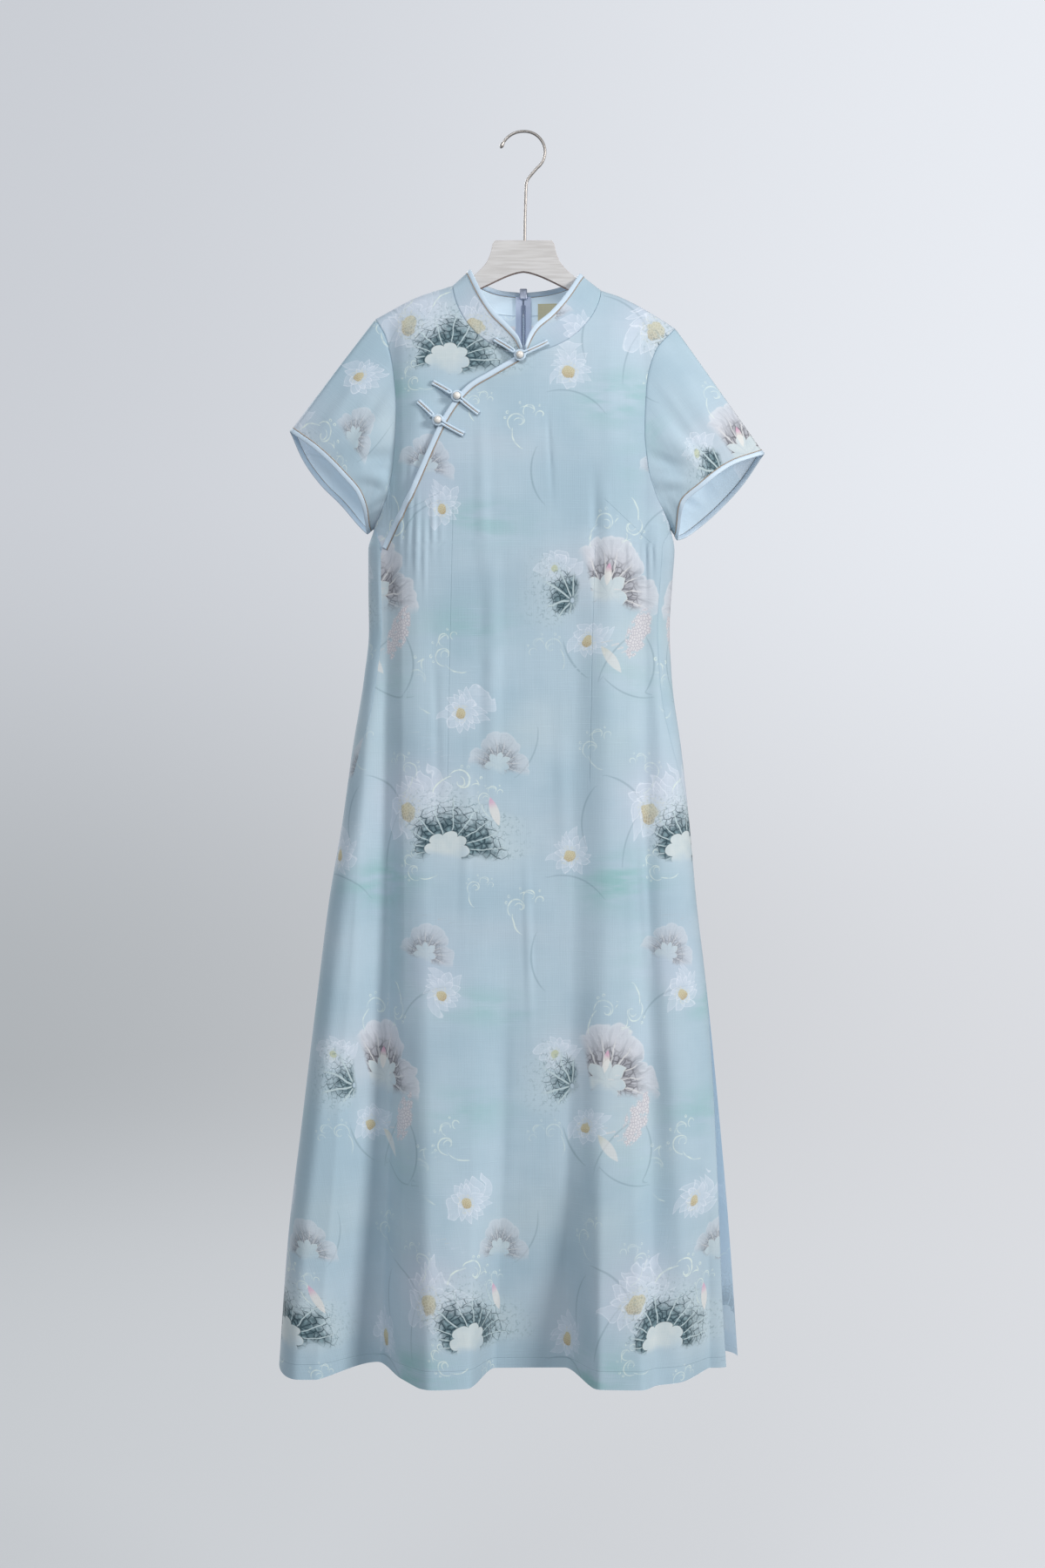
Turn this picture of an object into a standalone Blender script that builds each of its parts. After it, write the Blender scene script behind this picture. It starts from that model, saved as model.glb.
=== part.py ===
"""A short-sleeved cheongsam dress on its wooden hanger, each cut piece a solid of its own.

The dress hangs from the inside of the hook, which is the origin. +X is to the right of
someone who looks at the dress, +Z is up, and the front of the dress faces -Y. Tables and
named sizes are in millimetres, and MM turns them into metres where a mesh is made.

A height field gives the front of the cloth (its depth in front of the hanger's plane) and
another gives the back. Every panel, band and frog reads its points from those two.
"""

import math
from collections import namedtuple

import bmesh
import bpy
import numpy as np

for old in list(bpy.data.objects):
    bpy.data.objects.remove(old, do_unlink=True)

MM = 0.001

# ---------------------------------------------------------------- driving dimensions

CLOTH = 1.0              # wall of a panel
BAND = 1.8               # wall of the satin bindings, folded cloth
SEAM_GAP = 0.3           # between two pieces that a seam joins
LAP_GAP = 1.6            # at the underlap's side seam, which turns sharply back
SLEEVE_GAP = 1.4         # at the armholes, where the two walls lean together
UNDERARM_GAP = 3.5       # where four walls meet
BINDING_GAP = 0.7        # between a panel's edge and its thicker binding
UNDERARM = -444.0        # height of the underarm points
PLACKET_END = -469.0     # where the placket runs into the side seam
LAP_SIDE = (-471.0, -451.0)    # stations of the underlap's short side seam
SLIT_TOP = -865.0        # the side seams are open below this
HEM = -1384.0            # mean height of the hem
HEM_DROP = 6.0           # the hem's rise in a hollow, and its fall under a flute
SIDE_WRAP = 15.0         # how far the side seams sit inside the outline, on the front
FRONT_INSET = 15.0       # how far the front's right edge is inside the back's, at the hem
BACK_INSET = 6.0         # how far the back's left edge is inside the front's, at the hem
RIDGE = 8.0              # radius of the shoulder line over the hanger's arms
NECK_LEFT = -79.4        # where the shoulder seams meet the collar
NECK_RIGHT = 87.2
NECK_FRONT = (-1.0, -256.0)
NECK_BACK_HEIGHT = -200.0
SHOULDER_TIP_LEFT = -166.0
SHOULDER_TIP_RIGHT = 170.5
BINDING_WIDTH = 5.0
PLACKET_WIDTH = 6.0
PLACKET_LAP = 10.0       # how far the underlap runs on under the front
LAP_DEPTH = 3.2          # how far it lies below the front there

LOWER_ROWS = 19          # rows of cloth from the hem to the underarm
PLACKET_ROWS = 10        # rows from the underarm to the foot of the collar
NECK_ANGLES = (0, 14, 30, 46, 62, 76, 85, 90)    # stations of the collar's seam, in degrees
NECK_ROWS = len(NECK_ANGLES) - 1
UPPER_ROWS = PLACKET_ROWS + NECK_ROWS
FRONT_COLUMNS = 32
BACK_COLUMNS = 11
LAP_COLUMNS = 10
SLEEVE_RINGS = 5
FINE = 160               # samples in a path before its columns are spaced out

# ---------------------------------------------------------------- tables of the cloth

# The outline from the front: height, and the left and right edges of the whole body. Above
# the underarm the rows only shape the front and back, whose edges there are the armholes.
Outline = namedtuple("Outline", "z left right")
OUTLINE = (
    Outline(-1390, -273.0, 241.0),
    Outline(-1242, -262.6, 231.0),
    Outline(-1125, -248.9, 221.0),
    Outline(-968, -230.3, 205.5),
    Outline(-865, -217.5, 193.5),
    Outline(-772, -201.9, 185.2),
    Outline(-693, -191.1, 176.4),
    Outline(-615, -178.4, 166.0),
    Outline(-560, -172.8, 163.6),
    Outline(-500, -173.5, 167.0),
    Outline(-469, -173.5, 169.0),
    Outline(-444, -167.0, 165.0),
    Outline(-400, -180.0, 178.0),
    Outline(-340, -190.0, 187.0),
    Outline(-222, -197.0, 196.0),
    Outline(-120, -197.0, 196.0),
)

# The shoulder line over the arms of the hanger; between the neck points it is only a guide.
Shoulder = namedtuple("Shoulder", "x z")
SHOULDER = (
    Shoulder(-190, -222.0),
    Shoulder(-168, -211.5),
    Shoulder(-118, -185.5),
    Shoulder(-79.4, -173.0),
    Shoulder(0, -146.0),
    Shoulder(87.2, -178.5),
    Shoulder(108, -185.5),
    Shoulder(140, -202.0),
    Shoulder(171, -221.5),
    Shoulder(192, -234.0),
)

# The long folds of the front, left to right: where each crest or hollow stands and how far
# it is in front of the hanger, at the bust, waist, hip, knee and hem.
FOLD_HEIGHTS = (-470.0, -620.0, -865.0, -1120.0, -1384.0)
Fold = namedtuple("Fold", "name bust bust_depth waist waist_depth hip hip_depth"
                          " knee knee_depth hem hem_depth")
FRONT_FOLDS = (
    Fold("left flute", -166, 24, -171, 28, -186, 36, -205, 46, -227, 54),
    Fold("left hollow", -152, 24, -151, 23, -151, 22, -152, 14, -163, 3),
    Fold("first flute, flank", -133, 38, -133, 37, -131, 42, -131, 48, -133, 52),
    Fold("first flute, crest", -114, 45, -112, 42, -106, 50, -101, 66, -99, 86),
    Fold("first flute, fall", -60, 49, -60, 43, -59, 50, -58, 62, -62, 80),
    Fold("middle hollow, left", -8, 50, -6, 40, -10, 46, -18, 44, -32, 2),
    Fold("middle hollow, right", 56, 48, 57, 39, 53, 43, 48, 44, 46, 1),
    Fold("second flute, crest", 92, 47, 91, 46, 93, 52, 88, 66, 84, 84),
    Fold("second flute, fall", 116, 40, 116, 39, 116, 48, 118, 62, 127, 86),
    Fold("right hollow", 138, 30, 138, 29, 137, 38, 143, 50, 145, 70),
    Fold("right ripple", 150, 30, 150, 30, 152, 41, 167, 56, 170, 62),
    Fold("right edge", 160, 26, 158, 28, 180, 34, 203, 40, 206, 20),
)

# The back hangs against a wall, so its folds are flatter.
BACK_FOLDS = (
    Fold("left edge", -160, 22, -160, 22, -200, 24, -230, 26, -250, 26),
    Fold("left flute", -118, 27, -116, 25, -140, 33, -160, 39, -176, 43),
    Fold("left hollow", -70, 30, -62, 24, -82, 28, -96, 26, -104, 21),
    Fold("middle", -6, 31, -4, 25, -8, 34, -10, 40, -12, 43),
    Fold("right hollow", 62, 30, 58, 24, 70, 28, 76, 26, 82, 20),
    Fold("right flute", 112, 27, 112, 25, 124, 33, 138, 38, 150, 42),
    Fold("right edge", 154, 22, 152, 22, 176, 24, 200, 26, 216, 26),
)

# Short ridges on the front: the eased cloth beside the bust darts and one ripple at the
# waist. Each runs from top to foot along a line, with its height and half its width.
Ridge = namedtuple("Ridge", "x_top z_top x_foot z_foot height width")
WAIST_RIPPLE = Ridge(-33, -400, -36, -800, 3.0, 14.0)
LEFT_EASE = (2.2, 1.4, 2.4, 1.6, 2.0, 1.2)       # heights of the pleats, from the side in
RIGHT_EASE = (1.8, 2.2, 1.3, 2.0, 1.2)
EASE_WIDTH = 4.2

# The placket: from the neck down to the left side seam.
Point = namedtuple("Point", "x z")
PLACKET = (
    Point(-5, -258),
    Point(-36, -276),
    Point(-62, -292),
    Point(-88.5, -326),
    Point(-104, -358),
    Point(-126, -408),
    Point(-157.5, PLACKET_END),
)

# The armholes' seams, from the underarm up to the shoulder.
FRONT_ARMHOLE_LEFT = (
    Point(-167, UNDERARM),
    Point(-160, -431),
    Point(-151, -408),
    Point(-144, -370),
    Point(-141, -316),
    Point(-145, -270),
    Point(-154, -232),
    Point(SHOULDER_TIP_LEFT, -210.5),
)
FRONT_ARMHOLE_RIGHT = (
    Point(165, UNDERARM),
    Point(158, -432),
    Point(147, -410),
    Point(138.5, -380),
    Point(134.5, -340),
    Point(137, -288),
    Point(147, -250),
    Point(SHOULDER_TIP_RIGHT, -221.2),
)
BACK_ARMHOLE_LEFT = (
    Point(-167, UNDERARM),
    Point(-160, -430),
    Point(-151, -400),
    Point(-147, -340),
    Point(-150, -270),
    Point(-157, -232),
    Point(SHOULDER_TIP_LEFT, -210.5),
)
BACK_ARMHOLE_RIGHT = (
    Point(165, UNDERARM),
    Point(158, -430),
    Point(149, -400),
    Point(144, -340),
    Point(149, -275),
    Point(157, -242),
    Point(SHOULDER_TIP_RIGHT, -221.2),
)

# The cuffs, from the outer end to the underarm: the front edge and the back edge.
Cuff = namedtuple("Cuff", "x y z")
CUFF_FRONT_LEFT = (
    Cuff(-261.7, -1, -337.0),
    Cuff(-231.6, -18, -360),
    Cuff(-203, -28, -388.5),
    Cuff(-184.3, -26, -411.5),
    Cuff(-178.0, -14, -432),
    Cuff(-176.0, -1, -451.0),
)
CUFF_BACK_LEFT = (
    Cuff(-261.7, 1, -337.0),
    Cuff(-249.3, 14, -366),
    Cuff(-230.4, 20, -392.7),
    Cuff(-206.9, 20, -416.2),
    Cuff(-189, 13, -437),
    Cuff(-176.0, 1, -451.0),
)
CUFF_FRONT_RIGHT = (
    Cuff(270, -1, -362),
    Cuff(233.6, -18, -376.4),
    Cuff(199.3, -28, -402),
    Cuff(178.5, -25, -422),
    Cuff(175.5, -14, -439),
    Cuff(174.0, -1, -458),
)
CUFF_BACK_RIGHT = (
    Cuff(270, 1, -362),
    Cuff(248, 16, -394.4),
    Cuff(226, 22, -418.3),
    Cuff(203.2, 21, -439),
    Cuff(184, 13, -453),
    Cuff(174.0, 1, -458),
)

# The collar's top edge: from the front opening to the shoulder, and on to the zip.
CollarTop = namedtuple("CollarTop", "x y z")
COLLAR_FRONT_LEFT = (
    CollarTop(-1.5, -51, -249),
    CollarTop(-5, -49, -239.5),
    CollarTop(-15, -45, -227),
    CollarTop(-32, -37, -208.5),
    CollarTop(-46, -25, -185),
    CollarTop(-59, 0, -155),
)
COLLAR_FRONT_RIGHT = (
    CollarTop(1.5, -51, -249),
    CollarTop(4.5, -49, -239.5),
    CollarTop(12, -46, -226),
    CollarTop(29, -38, -210),
    CollarTop(45, -26, -190),
    CollarTop(63, 0, -159.5),
)
COLLAR_BACK_LEFT = (
    CollarTop(-59, 0, -155),
    CollarTop(-55, 12, -160),
    CollarTop(-43, 22, -167),
    CollarTop(-24, 28, -172),
    CollarTop(-1.1, 30, -174),
)
COLLAR_BACK_RIGHT = (
    CollarTop(63, 0, -159.5),
    CollarTop(58, 12, -162.5),
    CollarTop(45, 22, -168),
    CollarTop(24, 28, -172),
    CollarTop(1.1, 30, -174),
)

# Frog fastenings: the pearl, the far ends of the two cords, how far the whole frog is lifted
# off the front, and how far each end then drops to the cloth that it is sewn to.
Frog = namedtuple("Frog", "name pearl_x pearl_z out_x out_z in_x in_z lift out_drop in_drop")
FROGS = (
    Frog("frog_1", -4.0, -259.5, -32.0, -241.0, 27.0, -244.0, 1.8, 2.4, 1.2),
    Frog("frog_2", -73.5, -304.5, -100.5, -288.5, -49.5, -324.0, 0.0, 1.0, 0.9),
    Frog("frog_3", -94.5, -331.0, -116.5, -309.5, -66.0, -347.0, 0.0, 1.1, 0.9),
)
FROG_CORD = 1.3          # radius of a frog's cord
FROG_SPREAD = 1.5        # half the distance between its two runs
FROG_LOOP = 5.4          # radius of the loop round the pearl
FROG_BOW = 1.2           # how far a doubled cord swells between its end and its turn
KNOT_GAP = 1.2           # between the knot's turn and the loop
PEARL = 4.15

# The zip, down the centre of the back, with its slider closed at the top.
ZIP_TOP = -176.0
ZIP_FOOT = -650.0
TAPE_WIDTH = 7.6
TAPE = 0.8
SLIDER_WIDTH = 8.3
SLIDER_HEIGHT = 12.0
SLIDER_MIDDLE = -176.0
PIN_RADIUS = 0.7
EYE_CLEARANCE = 0.35
PULL_WIDTH = 3.0
PULL_LENGTH = 22.0

# The hanger: a flat wooden body and a hook of thick wire.
WOOD = 9.0
ARM_CLEAR = 3.6          # from the shoulder seam's inner face down to the arms
WOOD_TOP = -122.5
WOOD_TOP_HALF = 31.5
ARM_END = 163.0
ARM_TIP_DEPTH = 13.0
APEX = -156.0
WIRE = 1.6
HOOK_RADIUS = 23.0
HOOK_FLARE = 4.0


# ---------------------------------------------------------------- smooth tables

def smooth_through(x, xs, ys):
    """A smooth curve through the points (xs, ys), without overshoot, read at x."""
    step = np.diff(xs, axis=0)
    rise = np.diff(ys, axis=0) / step
    both = rise[1:] * rise[:-1]
    total = np.where(both > 0, rise[1:] + rise[:-1], 1.0)
    middle = np.where(both > 0, 2 * both / total, 0.0)
    slope = np.concatenate([rise[:1], middle, rise[-1:]])
    value = np.where(x < xs[0], ys[0], ys[-1]) + 0.0 * x
    for i in range(len(step)):
        t = (x - xs[i]) / step[i]
        inside = (t >= 0) & (t <= 1)
        t = np.clip(t, 0, 1)
        curve = (ys[i] * (1 + 2 * t) * (1 - t) ** 2
                 + ys[i + 1] * t ** 2 * (3 - 2 * t)
                 + step[i] * slope[i] * t * (1 - t) ** 2
                 + step[i] * slope[i + 1] * t ** 2 * (t - 1))
        value = np.where(inside, curve, value)
    return value


def smoothstep(t):
    t = np.clip(t, 0, 1)
    return t * t * (3 - 2 * t)


def column(table, name):
    """One named column of a table, as an array."""
    return np.array([float(getattr(row, name)) for row in table])


OUTLINE_Z = column(OUTLINE, "z")
OUTLINE_LEFT = column(OUTLINE, "left")
OUTLINE_RIGHT = column(OUTLINE, "right")
SHOULDER_X = column(SHOULDER, "x")
SHOULDER_Z = column(SHOULDER, "z")


def half_outline(z, side):
    """The body's edge at a height, on the side whose sign is given."""
    return smooth_through(z, OUTLINE_Z, OUTLINE_RIGHT if side > 0 else OUTLINE_LEFT)


def shoulder_line(x):
    return smooth_through(x, SHOULDER_X, SHOULDER_Z)


def fold_depth(table, x, z):
    """The depth that a table of folds gives at x and z, before the edges round away."""
    keys = np.array(FOLD_HEIGHTS[::-1])
    stages = ("hem", "knee", "hip", "waist", "bust")
    at = []
    depth = []
    for fold in table:
        places = np.array([float(getattr(fold, stage)) for stage in stages])
        depths = np.array([float(getattr(fold, stage + "_depth")) for stage in stages])
        at.append(smooth_through(z, keys, places))
        depth.append(smooth_through(z, keys, depths))
    return smooth_through(x, np.array(at), np.array(depth))


def round_edge(x, z, width):
    """1 inside the body, falling to 0 at its outline as a quarter of a circle does."""
    left = x - half_outline(z, -1)
    right = half_outline(z, 1) - x
    inset = np.clip(np.minimum(left, right) / width, 0, 1)
    return np.sqrt(1 - (1 - inset) ** 2)


def over_shoulder(x, z, spread):
    """How much of its full depth the cloth has, below the shoulder line."""
    drop = np.maximum(shoulder_line(x) - z, 0)
    ridge = np.sqrt(1 - (1 - np.clip(drop / RIDGE, 0, 1)) ** 2)
    return ridge, 1 - np.exp(-drop / spread)


def edge_width(z):
    """The width over which the body's edges round away, larger at the armholes."""
    return 26 + 34 * smoothstep((z - UNDERARM + 20) / 90)


def slit_spread(z):
    """How far front and back stand off the side seam's plane, below the slits' top."""
    return 5 * smoothstep((SLIT_TOP - z) / 400)


def ease_ridges():
    """The small pleats of the eased cloth beside the bust darts, on both sides."""
    ridges = [WAIST_RIPPLE]
    for i, height in enumerate(LEFT_EASE):
        ridges.append(Ridge(-146 + 7.6 * i, -408, -151 + 8.4 * i, -540, height, EASE_WIDTH))
    for i, height in enumerate(RIGHT_EASE):
        ridges.append(Ridge(142 - 8.2 * i, -420, 146 - 9.0 * i, -530, height, EASE_WIDTH))
    return ridges


def ridge_depth(ridge, x, z):
    along = (ridge.z_top - z) / (ridge.z_top - ridge.z_foot)
    middle = ridge.x_top + (ridge.x_foot - ridge.x_top) * along
    across = np.clip(np.abs(x - middle) / ridge.width, 0, 1)
    fade = np.sin(np.pi * np.clip(along, 0, 1))
    return ridge.height * fade * 0.5 * (1 + np.cos(np.pi * across))


def front_y(x, z):
    """The inner face of the front, in the frame's Y."""
    x = np.asarray(x, float)
    z = np.asarray(z, float)
    ridge, ramp = over_shoulder(x, z, 60)
    full = fold_depth(FRONT_FOLDS, x, z)
    depth = round_edge(x, z, edge_width(z)) * (RIDGE * ridge + ramp * (full - RIDGE * 0.6))
    for small in ease_ridges():
        depth = depth + ridge_depth(small, x, z)
    return -depth - slit_spread(z)


def back_y(x, z):
    """The inner face of the back, in the frame's Y."""
    x = np.asarray(x, float)
    z = np.asarray(z, float)
    ridge, ramp = over_shoulder(x, z, 30)
    full = fold_depth(BACK_FOLDS, x, z)
    depth = round_edge(x, z, 22) * (RIDGE * ridge + ramp * (full - RIDGE * 0.6))
    return depth + slit_spread(z)


# ---------------------------------------------------------------- paths and grids

def curve_at(points, shares):
    """Points at the given shares of the length of a smooth curve through the given ones."""
    knots = np.array([tuple(point) for point in points], float)
    chord = np.linalg.norm(np.diff(knots, axis=0), axis=1)
    run = np.concatenate([[0], np.cumsum(chord)])
    fine = np.linspace(0, run[-1], FINE)
    smooth = np.column_stack([smooth_through(fine, run, knots[:, k])
                              for k in range(knots.shape[1])])
    length = np.concatenate([[0], np.cumsum(np.linalg.norm(np.diff(smooth, axis=0), axis=1))])
    at = np.asarray(shares) * length[-1]
    return np.column_stack([np.interp(at, length, smooth[:, k])
                            for k in range(knots.shape[1])])


def armhole_shares():
    """Stations up an armhole: even, then two close to the shoulder's ridge."""
    return np.concatenate([np.linspace(0, 0.93, UPPER_ROWS - 1), [0.98, 1.0]])


def shares_along(points):
    """Each point's share of the length of the line through them all."""
    run = np.cumsum(np.linalg.norm(np.diff(points, axis=0), axis=1))
    return np.concatenate([[0], run / run[-1]])


def even_path(points, count, start=0.0, end=0.0, weight=None):
    """count + 1 points along a fine path, cut back at its ends, closer where weight is high."""
    step = np.linalg.norm(np.diff(points, axis=0), axis=1)
    run = np.concatenate([[0], np.cumsum(step)])
    kept = np.linspace(start, run[-1] - end, FINE)
    dense = np.ones(FINE) if weight is None else np.interp(kept, run, weight)
    load = np.concatenate([[0], np.cumsum(0.5 * (dense[1:] + dense[:-1]))])
    at = np.interp(np.linspace(0, load[-1], count + 1), load, kept)
    return np.column_stack([np.interp(at, run, points[:, k])
                            for k in range(points.shape[1])])


def line_between(start, end, arch=0.0, side=0):
    """Samples from an outer point to an inner one in X and Z, close together near both.

    Near the shoulder the line takes on the shoulder's own arch, by the share given.
    """
    t = 0.5 * (1 - np.cos(np.linspace(0, math.pi, FINE)))
    x = start[0] + (end[0] - start[0]) * t
    z = start[1] + (end[1] - start[1]) * t
    if arch > 0:
        neck = NECK_RIGHT if side > 0 else NECK_LEFT
        tip = SHOULDER_TIP_RIGHT if side > 0 else SHOULDER_TIP_LEFT
        line = shoulder_line(tip) + (shoulder_line(neck) - shoulder_line(tip)) * t
        z = z + arch * (shoulder_line(tip + (neck - tip) * t) - line)
    return x, z


def arch_share(k):
    """How much of the shoulder's arch the k-th row above the underarm takes on."""
    return float(smoothstep((k / UPPER_ROWS - 0.35) / 0.45))


def side_wrap(z):
    """How far the side seam lies inside the outline, on the front of the body."""
    top = smoothstep((UNDERARM - z) / 26)
    foot = 1 - smoothstep((-640 - z) / 150)
    return SIDE_WRAP * top * foot


def side_edge(z, side, inset=0.0):
    """The side seam's X, and below the slits' top an edge that draws in by inset."""
    drawn_in = inset * smoothstep((SLIT_TOP - 30 - z) / 430)
    return float(half_outline(z, side) - side * (side_wrap(z) + drawn_in))


def hem_height(z, depth):
    """A point's height once the hem's rise and fall are spread up the skirt."""
    share = np.clip((UNDERARM - z) / (UNDERARM - HEM), 0, 1) ** 2
    return z + share * HEM_DROP * (1 - 2 * np.clip(depth / 86, 0, 1))


def mesh_object(name, verts, faces, material):
    """A mesh object in the dress's collection, from points in millimetres."""
    mesh = bpy.data.meshes.new(name)
    mesh.from_pydata([tuple(float(c) * MM for c in v) for v in verts], [], faces)
    mesh.validate()
    mesh.materials.append(material)
    obj = bpy.data.objects.new(name, mesh)
    DRESS.objects.link(obj)
    mesh.shade_smooth()
    return obj


def sheet(name, rows, material, wall=CLOTH, ring=False, flip=False):
    """A wall of cloth on a grid of rows; the grid is its inner face."""
    rows = [np.asarray(row) for row in rows]
    width = len(rows[0])
    verts = np.concatenate(rows)
    faces = []
    for i in range(len(rows) - 1):
        for j in range(width if ring else width - 1):
            k = (j + 1) % width
            quad = (i * width + j, i * width + k, (i + 1) * width + k, (i + 1) * width + j)
            faces.append(quad[::-1] if flip else quad)
    obj = mesh_object(name, verts, faces, material)
    thick = obj.modifiers.new("wall", "SOLIDIFY")
    thick.thickness = wall * MM
    thick.offset = 1.0
    thick.use_quality_normals = True
    return obj


def material(name, color, roughness, metallic=0.0):
    mat = bpy.data.materials.new(name)
    mat.use_nodes = True
    shader = mat.node_tree.nodes["Principled BSDF"]
    shader.inputs["Base Color"].default_value = (*color, 1.0)
    shader.inputs["Roughness"].default_value = roughness
    shader.inputs["Metallic"].default_value = metallic
    mat.diffuse_color = (*color, 1.0)
    return mat


DRESS = bpy.data.collections.new("cheongsam")
bpy.context.scene.collection.children.link(DRESS)
CUTTERS = bpy.data.collections.new("cutters")
bpy.context.scene.collection.children.link(CUTTERS)

CREPE = material("printed_crepe", (0.50, 0.64, 0.72), 0.75)
SATIN = material("satin_binding", (0.66, 0.78, 0.88), 0.40)
LINING = material("lining", (0.84, 0.80, 0.82), 0.70)
TAPE_CLOTH = material("zip_tape", (0.60, 0.62, 0.74), 0.80)
LABEL_CLOTH = material("label", (0.62, 0.55, 0.38), 0.60)
PEARL_FINISH = material("pearl", (0.90, 0.88, 0.86), 0.25)
PAINTED_METAL = material("zip_slider", (0.66, 0.68, 0.76), 0.40, 0.3)
PALE_WOOD = material("pale_wood", (0.74, 0.72, 0.71), 0.65)
STEEL = material("hook_steel", (0.72, 0.68, 0.64), 0.30, 1.0)


# ---------------------------------------------------------------- seams that pieces share

def neck_curve(side):
    """The collar's seam on the front: a quarter of an oval, from the opening to the shoulder."""
    neck_x = NECK_RIGHT if side > 0 else NECK_LEFT
    neck_z = shoulder_line(neck_x)
    angle = np.radians(NECK_ANGLES)
    x = NECK_FRONT[0] + (neck_x - NECK_FRONT[0]) * np.sin(angle)
    z = neck_z + (NECK_FRONT[1] - neck_z) * np.cos(angle) ** 1.15
    return np.column_stack([x, z])


def back_neck_curve(side):
    """The collar's seam on the back, from its centre to the shoulder."""
    neck_x = NECK_RIGHT if side > 0 else NECK_LEFT
    neck_z = shoulder_line(neck_x)
    angle = np.radians(NECK_ANGLES)
    x = neck_x * np.sin(angle)
    z = neck_z + (NECK_BACK_HEIGHT - neck_z) * np.cos(angle)
    return np.column_stack([x, z])


def placket_curve(inset, count):
    """The placket from the side seam to the neck, moved towards the front by inset."""
    points = curve_at(PLACKET[::-1], np.linspace(0, 1, count + 1))
    along = np.gradient(points, axis=0)
    along /= np.linalg.norm(along, axis=1)[:, None]
    across = np.column_stack([along[:, 1], -along[:, 0]])
    return points + inset * across


def beyond_placket(x, z):
    """Distance from the placket, positive on the underlap's side of it."""
    curve = curve_at(PLACKET[::-1], np.linspace(0, 1, 60))
    along = np.gradient(curve, axis=0)
    apart = np.stack([x, z], axis=-1)[:, None, :] - curve
    nearest = np.argmin(np.linalg.norm(apart, axis=2), axis=1)
    offset = apart[np.arange(len(x)), nearest]
    heading = along[nearest]
    turn = heading[:, 0] * offset[:, 1] - heading[:, 1] * offset[:, 0]
    return np.sign(turn) * np.linalg.norm(offset, axis=1)


def fine_weight(x, z):
    """More columns where the eased cloth has its small pleats."""
    band = smoothstep((z + 590) / 60) * (1 - smoothstep((z + 400) / 40))
    left = smoothstep((x + 165) / 10) * (1 - smoothstep((x + 108) / 10))
    right = smoothstep((x - 98) / 8) * (1 - smoothstep((x - 152) / 10))
    return 1 + 2.4 * band * (left + right)


def cloth_row(path, count, weight=None, start=SEAM_GAP / 2):
    """A row of columns along a path, held back from the seam at each end."""
    row = even_path(path, count, start, SEAM_GAP / 2, weight)
    row[:, 2] = hem_height(row[:, 2], -row[:, 1])
    return row


# ---------------------------------------------------------------- front

def front_main():
    """The front: hem to collar on the right, and up to the placket on the left."""
    placket = placket_curve(PLACKET_WIDTH + BINDING_GAP, PLACKET_ROWS - 1)
    left = [(side_edge(z, -1), z) for z in np.linspace(HEM, PLACKET_END - 7, LOWER_ROWS)]
    right = [(side_edge(z, 1, FRONT_INSET), z)
             for z in np.linspace(HEM, UNDERARM - 7, LOWER_ROWS)]
    left += [tuple(point) for point in np.concatenate([placket, neck_curve(1)])]
    right += [tuple(point) for point in curve_at(FRONT_ARMHOLE_RIGHT, armhole_shares())]
    rows = []
    for i, (start, end) in enumerate(zip(left, right)):
        arch = arch_share(max(0, i - LOWER_ROWS))
        x, z = line_between(end, start, arch, 1)
        path = np.column_stack([x, front_y(x, z), z])[::-1]
        rows.append(cloth_row(path, FRONT_COLUMNS, fine_weight(path[:, 0], path[:, 2])))
    rows[-1][:, 1] -= SEAM_GAP / 2
    sheet("front_main", rows, CREPE)
    return rows


def front_underlap():
    """The left of the chest, which runs on under the front behind the placket."""
    seam = [(side_edge(z, -1), z) for z in LAP_SIDE]
    outer = np.concatenate([seam, curve_at(FRONT_ARMHOLE_LEFT, armhole_shares())])
    inner = np.concatenate([placket_curve(PLACKET_LAP, PLACKET_ROWS + len(seam))[:-1],
                            neck_curve(-1)])
    rows = []
    for k in range(len(outer)):
        x, z = line_between(outer[k], inner[k], arch_share(max(0, k - len(seam))), -1)
        lap = LAP_DEPTH * (1 - smoothstep((beyond_placket(x, z) - 4) / 25))
        path = np.column_stack([x, front_y(x, z) + lap, z])
        rows.append(cloth_row(path, LAP_COLUMNS, start=LAP_GAP))
    rows[-1][:, 1] -= SEAM_GAP / 2
    sheet("front_underlap", rows, CREPE)
    return rows


def placket_band():
    """The satin band along the placket, on the edge of the front."""
    outer = placket_curve(0.0, PLACKET_ROWS - 1)
    inner = placket_curve(PLACKET_WIDTH, PLACKET_ROWS - 1)
    rows = []
    for start, end in zip(outer, inner):
        x, z = line_between(start, end)
        rows.append(even_path(np.column_stack([x, front_y(x, z), z]), 2))
    sheet("placket_band", rows, SATIN, wall=BAND)


# ---------------------------------------------------------------- back

def back_path(outer, centre, side, arch):
    """Samples from the side seam, round the outline where it wraps, to the back's centre."""
    reach = float(half_outline(outer[1], side))
    wrap = abs(reach - outer[0]) if SLIT_TOP < outer[1] < UNDERARM else 0.0
    x, z = line_between((reach, outer[1]) if wrap > 0.5 else outer, centre, arch, side)
    path = np.column_stack([x, back_y(x, z), z])
    if wrap > 0.5:
        t = np.linspace(1, 0, 40) ** 2
        x = reach - side * wrap * t
        z = np.full(len(t), outer[1])
        path = np.concatenate([np.column_stack([x, front_y(x, z), z])[:-1], path])
    return path


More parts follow.
